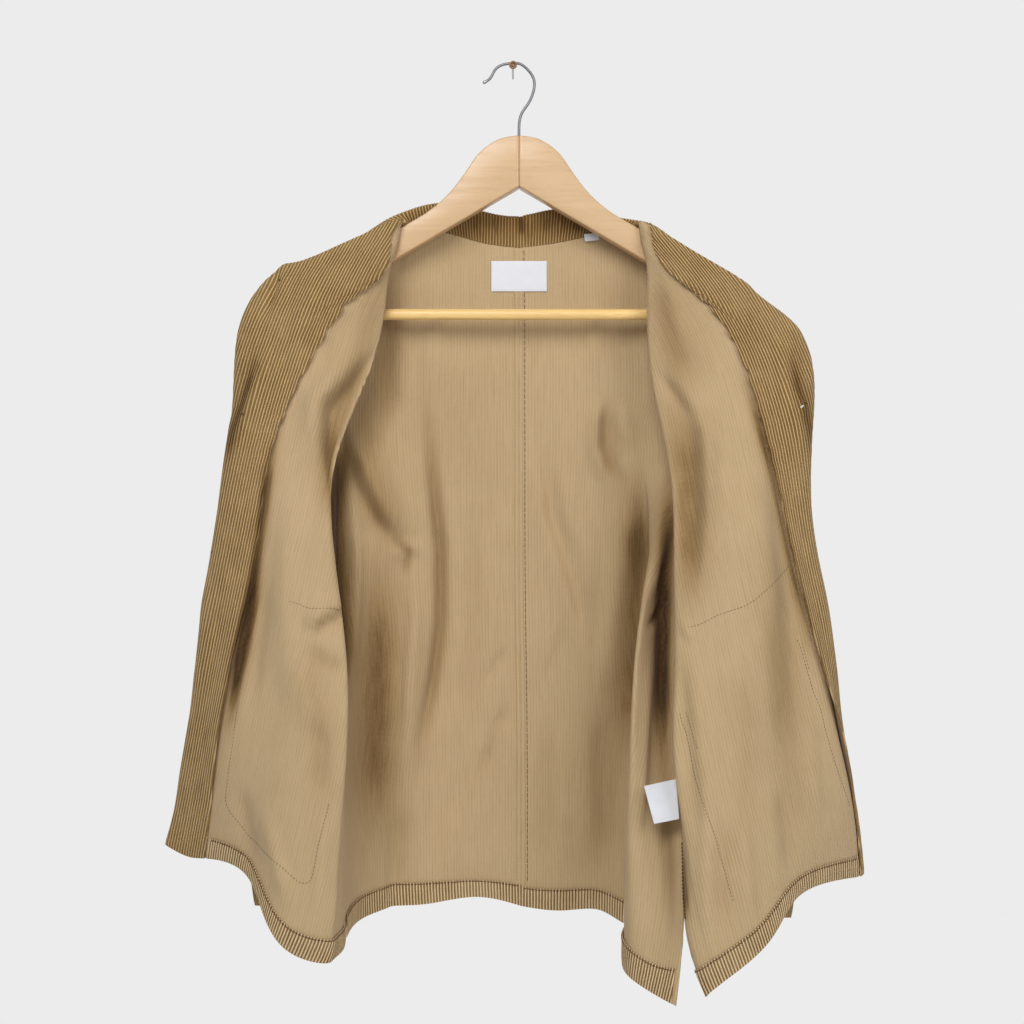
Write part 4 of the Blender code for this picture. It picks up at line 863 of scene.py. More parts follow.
def leaning_run(panel, columns, rows, outward, lean):
    """How far across the wales each point lies, for wales that lean on the elevation as `lean` gives.

    lean holds (drop, degrees from upright) pairs. Round the hinge the cloth's own length is counted.
    """
    flat = panel.points(columns, rows)
    spots = on_elevation(flat)
    drops = np.arange(0.0, 950.0)
    slopes = np.tan(np.radians(np.interp(drops, *np.array(lean, float).T)))
    label = outward * spots[..., 0] - np.interp(spots[..., 1], drops, np.cumsum(slopes) - slopes[0])
    length = np.linalg.norm(np.diff(flat, axis=1), axis=2)
    depth = DEPTH_GAIN * np.diff(flat[..., 1], axis=1)
    seen = np.maximum(np.hypot(np.maximum(np.diff(label, axis=1), 0), depth), LEAST_GAIN * length)
    gain = np.where(columns[:-1] >= HINGE_COLUMN, seen, length)
    run = np.pad(np.cumsum(gain, axis=1), ((0, 0), (1, 0)))
    anchor = np.abs(columns - FACE_COLUMN).argmin()
    return run - run[:, anchor : anchor + 1] + label[:, anchor : anchor + 1]


def laid_along_wales(
    panel, columns, rows, reference, per_wale, step=0.0, lift=None, lean=None, starts=None
):
    """A panel's surface on lines that run along the wales, cut off where they meet the panel's edges.

    step and lift(columns, rows) move it towards the wearer. The lines keep a fixed distance from the
    reference column, or with `lean` they lean as it gives, and reference is 1 or -1, the way outwards.
    starts is the first column of each row, where that isn't the same for all. ids gives all the points
    that a cut has pushed to one place the same number.
    """
    pitch = sizes().wale_pitch * 1000
    fine = np.linspace(*columns, int((columns[1] - columns[0]) * FINE_COLUMNS) + 2)
    surface, hollow = panel.folded(fine, rows)
    normals = grid_normals(surface)
    if step or lift is not None:
        height = panel.inside * (step + (lift(fine, rows) if lift is not None else 0.0))
        surface = surface + normals * np.broadcast_to(height, surface.shape[:2])[..., None]
        normals = grid_normals(surface)
    if lean:
        run = leaning_run(panel, fine, rows, reference, lean)
    else:
        run = np.cumsum(np.linalg.norm(np.diff(surface, axis=1), axis=2), axis=1)
        run = np.pad(run, ((0, 0), (1, 0)))
        run -= np.array([np.interp(reference, fine, line) for line in run])[:, None]
    space = pitch / per_wale
    lines = np.arange(math.floor(run[:, 0].min() / space), math.ceil(run[:, -1].max() / space) + 1) * space
    shape = (len(rows), len(lines))
    points, turned = np.empty((*shape, 3)), np.empty((*shape, 3))
    at, painted_shades, ids = np.empty(shape), np.empty(shape), np.empty(shape, int)
    starts = np.full(len(rows), columns[0]) if starts is None else starts
    for k, line in enumerate(run):
        low = np.interp(starts[k], fine, line)
        at[k] = np.clip(lines, low, line[-1])
        painted_shades[k] = np.interp(at[k], line, hollow[k])
        for axis in range(3):
            points[k, :, axis] = np.interp(at[k], line, surface[k, :, axis])
            turned[k, :, axis] = np.interp(at[k], line, normals[k, :, axis])
        first = np.flatnonzero(lines <= low + 1e-6)[-1]
        last = np.flatnonzero(lines >= line[-1] - 1e-6)[0]
        ids[k] = k * len(lines) + np.clip(np.arange(len(lines)), first, last)
    along = run_along(surface[:, len(fine) // 2])[:, None] / pitch
    return Laid(points, turned, at / pitch, np.repeat(along, shape[1], axis=1), ids, painted_shades)


def laid_tube(rings, wales):
    """A closed tube's rings on an even number of lines along it, in the form that `shell` takes."""
    normals = grid_normals(np.concatenate((rings[:, -2:-1], rings, rings[:, 1:2]), axis=1))[:, 1:-1]
    rows, count = rings.shape[:2]
    across = np.repeat(np.linspace(0, wales, count)[None], rows, axis=0)
    along = run_along(rings.mean(axis=1))[:, None] / (sizes().wale_pitch * 1000)
    along = np.repeat(along, count, axis=1)
    ids = np.arange(rows * count).reshape(rows, count)
    ids[:, -1] = ids[:, 0]
    return Laid(rings, normals, across, along, ids, np.zeros(ids.shape))


def wale_heights(across):
    """The pile's height over the wales, 0 in a groove and 1 on a crest."""
    return np.abs(np.sin(math.pi * across)) ** WALE_FULLNESS


def edge_shares(ids):
    """1 over the cloth and EDGE_SHARE on its rim, to round the rim off."""
    share = np.ones(ids.shape)
    share[0] = share[-1] = EDGE_SHARE
    share[ids == ids[:, :1]] = EDGE_SHARE
    share[ids == ids[:, -1:]] = EDGE_SHARE
    return share


def shell(node, ending, laid, pile, inside=1, looks=(CORDUROY, REVERSE), tube=False):
    """A closed wall of cloth: corduroy on the side `pile` of the normals and the plain reverse behind it.

    It stands for the node, on the jacket's one body, and has pile on both sides where it has
    one look. Only its side `inside`, towards the wearer, carries the painted shade of the creases.
    """
    name = f"{node}_{ending}"
    pile_inside = len(looks) == 1
    scale = sizes()
    half = scale.wall * 1000 / 2
    relief = scale.wale_height * 1000
    height = wale_heights(laid.across)
    round_off = edge_shares(laid.ids) if not tube else np.ones(laid.ids.shape)
    if tube:
        round_off[0] = round_off[-1] = EDGE_SHARE
    outer = (half - relief * PILE_SUNK + relief * height) * round_off
    behind = outer if pile_inside else (half - REVERSE_RIB * (1 - height)) * round_off
    rows, columns = laid.ids.shape
    front = laid.points + laid.normals * (pile * outer)[..., None]
    back = laid.points - laid.normals * (pile * behind)[..., None]
    total = rows * columns
    places = np.concatenate((front.reshape(-1, 3), back.reshape(-1, 3)))
    flat = np.arange(total).reshape(rows, columns)
    ids = laid.ids

    def quads(number, shift):
        corners = [number[:-1, :-1], number[:-1, 1:], number[1:, 1:], number[1:, :-1]]
        found = np.stack([corner.ravel() for corner in corners], axis=1) + shift
        return found[:, ::-1] if (shift > 0) else found

    faces = [quads(ids, 0), quads(ids, total)]
    spots = [quads(flat, 0), quads(flat, 0)]
    looks_of = [np.zeros(len(faces[0]), int), np.full(len(faces[1]), 0 if pile_inside else 1)]
    rims = [(ids[0], flat[0], 1), (ids[-1], flat[-1], -1)]
    if not tube:
        rims += [(ids[:, 0], flat[:, 0], -1), (ids[:, -1], flat[:, -1], 1)]
    for rim, at, turn in rims:
        ring = np.stack((rim[1:], rim[:-1], rim[:-1] + total, rim[1:] + total), axis=1)
        faces.append(ring[:, ::turn])
        spots.append(np.stack((at[1:], at[:-1], at[:-1], at[1:]), axis=1)[:, ::turn])
        looks_of.append(np.zeros(len(ring), int))
    faces, spots, looks_of = np.concatenate(faces), np.concatenate(spots), np.concatenate(looks_of)
    kept_faces, kept_spots, kept_looks = [], [], []
    same = faces == np.roll(faces, -1, axis=1)
    for face, spot, look, doubled in zip(faces.tolist(), spots.tolist(), looks_of.tolist(), same.tolist()):
        if any(doubled):
            pairs = [(v, s) for v, s, double in zip(face, spot, doubled) if not double]
            if len(pairs) < 3 or len({v for v, _ in pairs}) < 3:
                continue
            face, spot = zip(*pairs)
        kept_faces.append(face)
        kept_spots.extend(spot)
        kept_looks.append(look)
    used, compact = np.unique(np.concatenate([np.array(face) for face in kept_faces]), return_inverse=True)
    numbers = iter(compact.tolist())
    kept_faces = [[next(numbers) for _ in face] for face in kept_faces]
    mesh = bpy.data.meshes.new(name)
    mesh.from_pydata((places[used] * MM).tolist(), [], kept_faces)
    # The painted shade of the creases goes into the hollow attribute, on the side towards the wearer alone.
    hollow = laid.hollow.ravel()
    painted_shades = np.concatenate((hollow * (pile == inside), hollow * (pile != inside)))
    shades = mesh.attributes.new("hollow", "FLOAT", "POINT")
    shades.data.foreach_set("value", painted_shades[used].astype(np.float32))
    weave = mesh.uv_layers.new(name="weave")
    spread = np.stack((laid.across.ravel(), laid.along.ravel()), axis=1)[kept_spots]
    weave.data.foreach_set("uv", spread.ravel().astype(np.float32))
    mesh.polygons.foreach_set("material_index", kept_looks)
    if signed_volume(mesh) < 0:
        mesh.flip_normals()
    finished(name, mesh, node, looks)


def signed_volume(mesh):
    shape = bmesh.new()
    shape.from_mesh(mesh)
    volume = shape.calc_volume(signed=True)
    shape.free()
    return volume


def finished(name, mesh, node, looks, smooth=True):
    """Puts a mesh in the scene on the jacket's one body, in place of the node or nodes that it stands for."""
    made = bpy.data.objects.new(name, mesh)
    bpy.context.scene.collection.objects.link(made)
    for look in looks:
        mesh.materials.append(bpy.data.materials[look])
    if smooth:
        mesh.shade_smooth()
        mesh.set_sharp_from_angle(angle=math.radians(SHARP_ANGLE))
    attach(made, BODY)
    if node:
        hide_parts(node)
    return made


FRONT_FOLDS = {
    "right": FRONT_RIGHT_FOLDS + FACING_RIGHT_FOLDS,
    "left": FRONT_LEFT_FOLDS + FACING_LEFT_FOLDS,
}
SLEEVE_FOLDS = {"right": SLEEVE_RIGHT_FOLDS, "left": SLEEVE_LEFT_FOLDS}
PANELS = {
    ("right", "front"): Panel(front_sections(RIGHT_FRONT, 1), FRONT_CROWN_DOWN, 1, FRONT_FOLDS["right"]),
    ("left", "front"): Panel(front_sections(LEFT_FRONT, -1), FRONT_CROWN_DOWN, -1, FRONT_FOLDS["left"]),
    ("right", "back"): Panel([row[1:] for row in RIGHT_BACK], BACK_CROWN_DOWN, 1, BACK_RIGHT_FOLDS),
    ("left", "back"): Panel([row[1:] for row in LEFT_BACK], BACK_CROWN_DOWN, -1, BACK_LEFT_FOLDS),
}

# ---------------------------------------------------------------- pieces of the jacket


def centre_fell(columns, rows):
    """How high the felled seam stands down the middle of the back."""
    share = soft_step((CENTRE_FELL_COLUMN - columns) / CENTRE_FELL_FADE + 0.5)
    return CENTRE_FELL_HEIGHT * share[None, :] * np.ones((len(rows), 1))


def make_backs():
    for side in ("right", "left"):
        panel = PANELS[side, "back"]
        node = f"back_{side}"
        rows = panel.even_rows(0.0, LAST_ROW, 1.0, sizes().row_step * 1000)
        laid = laid_along_wales(panel, (0.0, panel.last_column), rows, 0.0, BACK_LINES, lift=centre_fell)
        shell(node, "cloth", laid, -panel.inside, panel.inside)

        node = f"back_hem_{side}"
        rows = panel.even_rows(panel.hem_row, LAST_ROW, 1.0, HEM_ROW_STEP)
        columns = (0.0, panel.last_column - SIDE_INSET)
        laid = laid_along_wales(panel, columns, rows, 0.0, HEM_LINES, LAYER_STEP)
        shell(node, "turnup", laid, panel.inside, panel.inside, HEM_LOOKS)


def facing_lift(columns, rows):
    """How far a facing's loose inner edge stands off its front, with the small waves along it."""
    loose = np.clip(FACE_COLUMN + 1 - columns, 0, 1)
    lift = FACING_LIFT * np.interp(rows, FACING_LOOSE_ROWS, (0, 1, 1, 0))
    waves = FACING_WAVE * np.interp(rows, FACING_WAVE_ROWS, (1, 1, 0))
    waves = waves * (np.sin(rows * 21.4) + 0.6 * np.sin(rows * 33.7 + 1.3) + 1.2) / 2
    return lift[:, None] * loose[None, :] ** FACING_LOOSE_CURVE + waves[:, None] * loose[None, :] ** 2


def make_fronts():
    for side in ("right", "left"):
        panel = PANELS[side, "front"]
        inside = panel.inside
        node = f"front_{side}"
        rows = panel.even_rows(TOP_ROW, LAST_ROW, FACE_COLUMN, sizes().row_step * 1000)
        seam = SEAM_GAP / SEAM_COLUMN
        outward, lean = (-1 if side == "right" else 1), WALE_LEAN[side]
        laid = laid_along_wales(panel, (seam, EDGE_COLUMN), rows, outward, FRONT_LINES, lean=lean)
        shell(node, "cloth", laid, -inside, inside)

        node = f"facing_{side}"
        reach = FACING_REACH[side]
        starts = FACE_COLUMN - reach * (1 - soft_step((rows - TOP_ROW) / FACING_REACH_ROWS))
        starts = starts + FACING_SCALLOP * (np.sin(rows * 19.0) + 0.7 * np.sin(rows * 31.0 + 2)) * (rows < 6)
        laid = laid_along_wales(
            panel, (FACE_COLUMN - reach - 0.2, EDGE_COLUMN), rows, outward, FACING_LINES,
            FACING_STEP, facing_lift, lean, starts,
        )
        shell(node, "cloth", laid, inside, inside)

        node = f"front_hem_{side}"
        down = panel.even_rows(panel.hem_row, LAST_ROW, HEM_MEASURED_AT, HEM_ROW_STEP)
        columns = (SIDE_INSET, FACE_COLUMN - FACE_INSET)
        laid = laid_along_wales(panel, columns, down, FACE_COLUMN - FACE_INSET, HEM_LINES, LAYER_STEP)
        shell(node, "turnup", laid, inside, inside, HEM_LOOKS)

        node = f"pocket_{side}"
        first, last, top, bottom = POCKET_REGION
        down = panel.even_rows(top, bottom, FACE_COLUMN - 1, sizes().row_step * 1000)
        laid = laid_along_wales(panel, (first, last), down, last, BACK_LINES, -LAYER_STEP)
        shell(node, "cloth", laid, -inside, inside)


def armhole(side):
    """Points round an armhole, from the shoulder down its front edge and up its back edge."""
    front, back = PANELS[side, "front"], PANELS[side, "back"]
    down = np.array(ARMHOLE_ROWS)
    front_edge = front.points([0.0], down)[:, 0]
    back_edge = back.points([back.last_column], down[::-1])[:, 0]
    front_edge[-1] = back_edge[0] = (front_edge[-1] + back_edge[0]) / 2
    front_edge[0] = back_edge[-1] = (front_edge[0] + back_edge[-1]) / 2
    return np.vstack((front_edge, back_edge[1:-1]))


def sleeve_ring(row, side, fraction):
    """One section of a sleeve: an oval on the line between the row's outer and inner ends."""
    ends = []
    for across, drop in (row.outer, row.inner):
        if side == "left":
            across = 2 * HANGER_MIDDLE - across + LEFT_SLEEVE_SPLAY * fraction
            drop = drop + LEFT_SLEEVE_DROP * fraction
        ends.append(np.array((across, drop)))
    turns = np.arange(SLEEVE_ROUND) * 2 * math.pi / SLEEVE_ROUND
    flat = ends[0] + ((1 - np.cos(turns)) / 2)[:, None] * (ends[1] - ends[0])
    depth = row.forward + row.half_depth * np.sin(turns)
    return np.array([place((*spot, forward)) for spot, forward in zip(flat, depth)])


def closed_round(ring, count):
    """A ring with `count` points, the last on the first, on a smooth closed curve through a few."""
    wrapped = np.concatenate((ring[-4:], ring, ring[:5]))
    return through(wrapped, np.linspace(4, 4 + len(ring), count))


def tube_rows(rings, first, last, step):
    """Rings about `step` apart, down a tube through a few of them."""
    fine = np.linspace(first, last, 200)
    run = run_along(through(rings.mean(axis=1), fine))
    down = np.interp(np.linspace(0, run[-1], max(int(run[-1] / step), 3) + 1), run, fine)
    return np.array([through(rings[:, i], down) for i in range(rings.shape[1])]).transpose(1, 0, 2)


def make_sleeves():
    for side, outward in (("right", -1), ("left", 1)):
        start = armhole(side)
        start[:, 0] += outward * SLEEVE_SEAM_GAP
        rings = [start]
        for i, row in enumerate(SLEEVE):
            rings.append(sleeve_ring(row, side, i / (len(SLEEVE) - 1)))
        count = SLEEVE_WALES * SLEEVE_LINES + 1
        rings = np.array(rings)
        rings = tube_rows(rings, 0.0, float(len(rings) - 1), SLEEVE_ROW_STEP)
        rings = np.array([closed_round(ring, count) for ring in rings])
        share = np.where(rings[..., 1] > 0, 1, SLEEVE_FRONT_FOLDS)
        lift = fold_heights(rings, SLEEVE_FOLDS[side])[0] * share
        laid = laid_tube(rings, SLEEVE_WALES)
        pile = tube_side(laid)
        laid = laid._replace(points=laid.points + laid.normals * (pile * lift)[..., None])
        shell(f"sleeve_{side}", "cloth", laid, pile, tube=True)

        last = SLEEVE[-1]
        cuff = []
        for drop in CUFF_DROPS:
            outer = (last.outer[0] + CUFF_OUTER_SLOPE * drop, last.outer[1] + drop)
            inner = (last.inner[0], last.inner[1] + drop)
            row = Sleeve("cuff", outer, inner, last.half_depth + CUFF_FULLNESS, last.forward)
            cuff.append(sleeve_ring(row, side, 1.0))
        cuff = np.array(cuff)
        cuff[..., 2] -= CUFF_GAP
        cuff = tube_rows(cuff, 0.0, float(len(cuff) - 1), CUFF_ROW_STEP)
        cuff = np.array([closed_round(ring, count) for ring in cuff])
        laid = laid_tube(cuff, SLEEVE_WALES)
        shell(f"cuff_{side}", "cloth", laid, tube_side(laid), tube=True)


def tube_side(laid):
    """The side of a tube's normals, 1 or -1, that faces out of it."""
    outwards = laid.points - laid.points.mean(axis=1, keepdims=True)
    return 1 if (outwards * laid.normals).sum() > 0 else -1


def neck_seam(panel, column):
    """Where the collar's lower edge stands, just clear of the panel's neck edge."""
    lift = BACK_SEAM_LIFT if panel.endswith("back") else FRONT_SEAM_LIFT
    return PANELS[tuple(panel.split())].points([column], [0.0])[0, 0] + np.array((0, 0, lift))


def make_collar():
    """Stand and leaf in one: each section rises from the neck seam, rolls over and falls behind."""
    sections = []
    for row in COLLAR:
        on_back = row.panel.endswith("back")
        seam = neck_seam(row.panel, row.column)
        roll, leaf = place(row.roll), place(row.leaf)
        behind = roll + np.array((0, row.over, -COLLAR_ROLL_DROP))
        rise = (seam + roll) / 2 - np.array((0, COLLAR_RISE_LEAN if on_back else 0, 0))
        fall = (behind + leaf) / 2 + COLLAR_FALL_BULGE
        sections.append((seam, rise, roll, behind, fall, leaf))
    sections = np.array(sections)
    fine = np.linspace(0, len(COLLAR) - 1, 500)
    run = run_along(through(sections[:, 1], fine))
    pitch = sizes().wale_pitch * 1000
    wales = int(run[-1] / pitch)
    along = np.interp(np.linspace(0, run[-1], wales * COLLAR_LINES + 1), run, fine)
    down = np.linspace(0.0, 5.0, COLLAR_ROWS)
    lines = np.array([through(section, down) for section in sections])
    grid = np.array([through(lines[:, i], along) for i in range(len(down))])
    for j, spot in enumerate(along):
        before, after = COLLAR[int(spot)], COLLAR[min(int(spot) + 1, len(COLLAR) - 1)]
        if before.panel == after.panel:
            share = spot - int(spot)
            grid[0, j] = neck_seam(before.panel, before.column * (1 - share) + after.column * share)
    shown = 1 - soft_step((down - COLLAR_ROLL_ROW) / COLLAR_FOLD_FADE)
    # hollow is the painted shade along the collar's creases.
    lift, hollow = fold_heights(grid, COLLAR_FOLDS) * shown[:, None]
    normals = grid_normals(grid)
    towards = -np.sign(normals[: len(down) // 3, :, 1].mean())
    grid = grid + normals * (towards * lift)[..., None]
    across = np.repeat(np.linspace(0, wales, len(along))[None], len(down), axis=0)
    fall = np.repeat(run_along(grid[:, len(along) // 2])[:, None] / pitch, len(along), axis=1)
    ids = np.arange(across.size).reshape(across.shape)
    laid = Laid(grid, grid_normals(grid), across, fall, ids, hollow)
    shell("collar", "cloth", laid, 1, towards, (CORDUROY,))


def tape(name, node, corners, thickness, looks, rests_on, bow=0.0):
    """A small four-cornered piece of woven tape, bowed a little off what it lies on."""
    top_left, top_right, bottom_right, bottom_left = corners
    down, across = np.linspace(0, 1, 7), np.linspace(0, 1, 13)
    left = top_left + (bottom_left - top_left) * down[:, None]
    right = top_right + (bottom_right - top_right) * down[:, None]
    grid = left[:, None] + (right - left)[:, None] * across[None, :, None]
    rise = bow * np.outer(np.sin(math.pi * down), np.sin(math.pi * across))
    grid = grid + grid_normals(grid) * rise[..., None]
    return tape_shell(name, node, grid, thickness, looks)


def tape_shell(name, node, grid, thickness, looks):
    """A closed wall of even thickness through a grid, with its edges rounded."""
    rows, columns = grid.shape[:2]
    shape = bmesh.new()
    points = [[shape.verts.new(point * MM) for point in row] for row in grid]
    weave = shape.loops.layers.uv.new("weave")
    width = np.linalg.norm(grid[0, -1] - grid[0, 0])
    height = np.linalg.norm(grid[-1, 0] - grid[0, 0])
    for i in range(rows - 1):
        for j in range(columns - 1):
            corners = ((i, j), (i + 1, j), (i + 1, j + 1), (i, j + 1))
            face = shape.faces.new([points[a][b] for a, b in corners])
            for loop, (a, b) in zip(face.loops, corners):
                loop[weave].uv = (b / (columns - 1) * width, a / (rows - 1) * height)
    mesh = bpy.data.meshes.new(name)
    shape.to_mesh(mesh)
    shape.free()
    made = finished(name, mesh, node, looks)
    select_only(made)
    wall = made.modifiers.new("wall", "SOLIDIFY")
    wall.thickness = thickness * MM
    wall.offset = 0.0
    bpy.ops.object.modifier_apply(modifier=wall.name)
    rounding = made.modifiers.new("edges", "BEVEL")
    rounding.width = thickness * 0.3 * MM
    rounding.segments = 2
    rounding.limit_method = "ANGLE"
    bpy.ops.object.modifier_apply(modifier=rounding.name)
    return made


def make_labels():
    width, height = NECK_LABEL
    step = SOLID_WALL / 2 + LABEL_THICKNESS / 2 + LABEL_CLEARANCE
    grid = []
    for drop in NECK_LABEL_TOP + np.linspace(0, height, 9):
        line = []
        for across in HANGER_MIDDLE + np.linspace(-0.5, 0.5, 15) * width:
            panel = PANELS["right" if across < HANGER_MIDDLE else "left", "back"]
            line.append(place((across, drop, panel.over(across, drop) + step)))
        grid.append(line)
    tape_shell("neck_label_tape", "neck_label", np.array(grid), LABEL_THICKNESS, (TAPE,))
    corners = [place(corner) for corner in SIZE_TAB]
    tape("size_tab_tape", "size_tab", corners, LABEL_THICKNESS, (TAPE,), ["back_left"])
    corners = [place(corner) for corner in CARE_LABEL_CORNERS]
    tape("care_label_tape", "care_label", corners, LABEL_THICKNESS, (TAPE,), ["front_left"], bow=1.2)


# ---------------------------------------------------------------- hanger, peg and buttons


def select_only(made):
    """Selects one object and makes it the active one."""
    bpy.ops.object.select_all(action="DESELECT")
    made.select_set(True)
    bpy.context.view_layer.objects.active = made


def start_primitive(add, **settings):
    """Adds one primitive with nothing else selected, and gives its object."""
    bpy.ops.object.select_all(action="DESELECT")
    add(**settings)
    return bpy.context.object


def in_edit_mode(made, choose, *steps):
    """Selects the faces that `choose` picks and runs the edit steps on them."""
    bpy.context.view_layer.objects.active = made
    bpy.ops.object.mode_set(mode="EDIT")
    bpy.ops.mesh.select_mode(type="FACE")
    bpy.ops.mesh.select_all(action="DESELECT")
    shape = bmesh.from_edit_mesh(made.data)
    for face in shape.faces:
        face.select_set(choose(face))
    bmesh.update_edit_mesh(made.data)
    for step, settings in steps:
        step(**settings)
    bpy.ops.object.mode_set(mode="OBJECT")


def settle(made, name, node, look, smooth_over=35):
    """Bakes a modelled piece's modifiers and place into its mesh, and puts it in place of its node."""
    select_only(made)
    for modifier in list(made.modifiers):
        bpy.ops.object.modifier_apply(modifier=modifier.name)
    bpy.ops.object.transform_apply(location=True, rotation=True, scale=True)
    bpy.ops.object.shade_smooth_by_angle(angle=math.radians(smooth_over))
    made.name = made.data.name = name
    made.data.materials.clear()
    made.data.materials.append(bpy.data.materials[look])
    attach(made, BODY)
    if node:
        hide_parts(node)
    return made


def rounded(made, width, segments, over=40):
    """Rounds the edges that turn by more than `over` degrees."""
    edges = made.modifiers.new("rounded edges", "BEVEL")
    edges.width = width * MM
    edges.segments = segments
    edges.limit_method = "ANGLE"
    edges.angle_limit = math.radians(over)


def make_arm(side_name, side):
    top = ARM_TOP + ARM_SHOULDER
    outline = np.vstack((through(top, np.linspace(0, len(top) - 1, ARM_POINTS)), ARM_UNDER))
    made = start_primitive(
        bpy.ops.mesh.primitive_circle_add, vertices=len(outline), radius=0.1, fill_type="NGON",
    )
    for corner, (out, drop) in zip(made.data.vertices, outline):
        across = HANGER_MIDDLE + side * max(out, SEAM_GAP / 2)
        corner.co = Vector((across, ARM_THICKNESS / 2, -drop)) * MM
    depth = {"value": (0, -ARM_THICKNESS * MM, 0)}
    in_edit_mode(
        made, lambda face: True, (bpy.ops.mesh.extrude_region_move, {"TRANSFORM_OT_translate": depth}),
        (bpy.ops.mesh.select_all, {"action": "SELECT"}),
        (bpy.ops.mesh.normals_make_consistent, {"inside": False}),
    )
    rounded(made, ARM_ROUNDING, 4, 50)
    settle(made, f"arm_{side_name}_wood", f"hanger_arm_{side_name}", WOOD)


def make_wire(name, node, path, diameter, look):
    """A bent wire with round ends, along a smooth path of true positions in millimetres."""
    curve = bpy.data.curves.new(name, "CURVE")
    curve.dimensions = "3D"
    line = curve.splines.new("POLY")
    line.points.add(len(path) - 1)
    for point, spot in zip(line.points, path):
        point.co = (*(spot * MM), 1.0)
    line.points[0].radius = line.points[-1].radius = 0.55
    line.points[1].radius = line.points[-2].radius = 0.9
    curve.bevel_depth = diameter / 2 * MM
    curve.bevel_resolution = 6
    curve.use_fill_caps = True
    drawn = bpy.data.objects.new(name, curve)
    bpy.context.scene.collection.objects.link(drawn)
    select_only(drawn)
    bpy.ops.object.convert(target="MESH")
    return settle(bpy.context.object, name, node, look, 60)


def make_hanger():
    make_arm("right", -1)
    make_arm("left", 1)
    bar = start_primitive(
        bpy.ops.mesh.primitive_cylinder_add, vertices=40, radius=BAR_DIAMETER / 2 * MM,
        depth=2 * BAR_HALF_LENGTH * MM, location=Vector((HANGER_MIDDLE, 0, -BAR_DROP)) * MM,
        rotation=(0, math.radians(90), 0),
    )
    rounded(bar, 0.8, 3)
    settle(bar, "bar_wood", "hanger_bar", BAR_WOOD)
    spots = np.array([(across, 0.0, -drop) for across, drop in HOOK])
    whole = through(spots, np.linspace(0, len(HOOK) - 1, HOOK_POINTS))
    make_wire("hook_wire", "hanger_hook", whole, WIRE_DIAMETER, STEEL)
    tip = through(spots, np.linspace(0, HOOK_TIP_SHARE, 12))
    tip[0] += (tip[0] - tip[1]) * 0.3
    make_wire("hook_tip_cap", None, tip, WIRE_DIAMETER + 2 * HOOK_TIP_WALL, TIP)
    peg = start_primitive(
        bpy.ops.mesh.primitive_cylinder_add, vertices=36, radius=PEG_HEAD_DIAMETER / 2 * MM,
        depth=PEG_HEAD_THICKNESS * MM, rotation=(math.radians(90), 0, 0),
        location=(0, (PEG_HEAD_THICKNESS / 2 - PEG_HEAD_FRONT) * MM, 0),
    )
    bpy.ops.object.transform_apply(location=True, rotation=True)
    back = (WALL_PLANE - PEG_HEAD_THICKNESS + PEG_HEAD_FRONT) * MM
    in_edit_mode(
        peg, lambda face: face.normal.y > 0.9,
        (bpy.ops.mesh.inset, {"thickness": (PEG_HEAD_DIAMETER - PEG_SHANK_DIAMETER) / 2 * MM}),
        (bpy.ops.mesh.extrude_region_move, {"TRANSFORM_OT_translate": {"value": (0, back, 0)}}),
    )
    in_edit_mode(
        peg, lambda face: face.normal.y < -0.9,
        (bpy.ops.mesh.inset, {"thickness": 1.6 * MM}),
        (bpy.ops.mesh.inset, {"thickness": 0.5 * MM, "depth": -0.5 * MM}),
        (bpy.ops.mesh.inset, {"thickness": 1.2 * MM, "depth": -0.25 * MM}),
    )
    rounded(peg, 0.35, 3)
    peg = settle(peg, "peg_pin", "wall_peg", BRASS)
    peg.data.materials.append(bpy.data.materials[PAINT])
    for face in peg.data.polygons:
        face.material_index = int(face.center.y > (PEG_HEAD_THICKNESS - PEG_HEAD_FRONT + 0.2) * MM)


def button_places():
    """The middle and outward direction of each button, on the outer face of the right front."""
    panel = PANELS["right", "front"]
    rows = np.linspace(0.0, LAST_ROW, 401)
    run = run_along(panel.points([EDGE_COLUMN], rows)[:, 0])
    found = []
    for i in range(BUTTON_COUNT):
        row = np.interp(FIRST_BUTTON_DROP + i * BUTTON_PITCH, run, rows)
        columns = np.linspace(EDGE_COLUMN, FACE_COLUMN, 61)
        reach = run_along(panel.points(columns, [row])[0])
        column = np.interp(BUTTON_SETBACK, reach, columns)
        patch = panel.points([column - 0.05, column, column + 0.05], [row - 0.05, row, row + 0.05])
        normal = -grid_normals(patch)[1, 1]
        normal /= np.linalg.norm(normal)
        nearby = np.linspace(max(row - 1, 0), row + 1, 21)
        under = panel.folded(columns, nearby)[0].reshape(-1, 3) - patch[1, 1]
        height = under @ normal
        beneath = np.linalg.norm(under - height[:, None] * normal, axis=1) < BUTTON_DIAMETER / 2 + SOLID_WALL
        lift = height[beneath & (height < BUTTON_DIAMETER / 2)].max()
        lift += SOLID_WALL / 2 + BUTTON_SHANK + BUTTON_THICKNESS / 2
        found.append((patch[1, 1] + normal * lift, Vector(normal)))
    return found


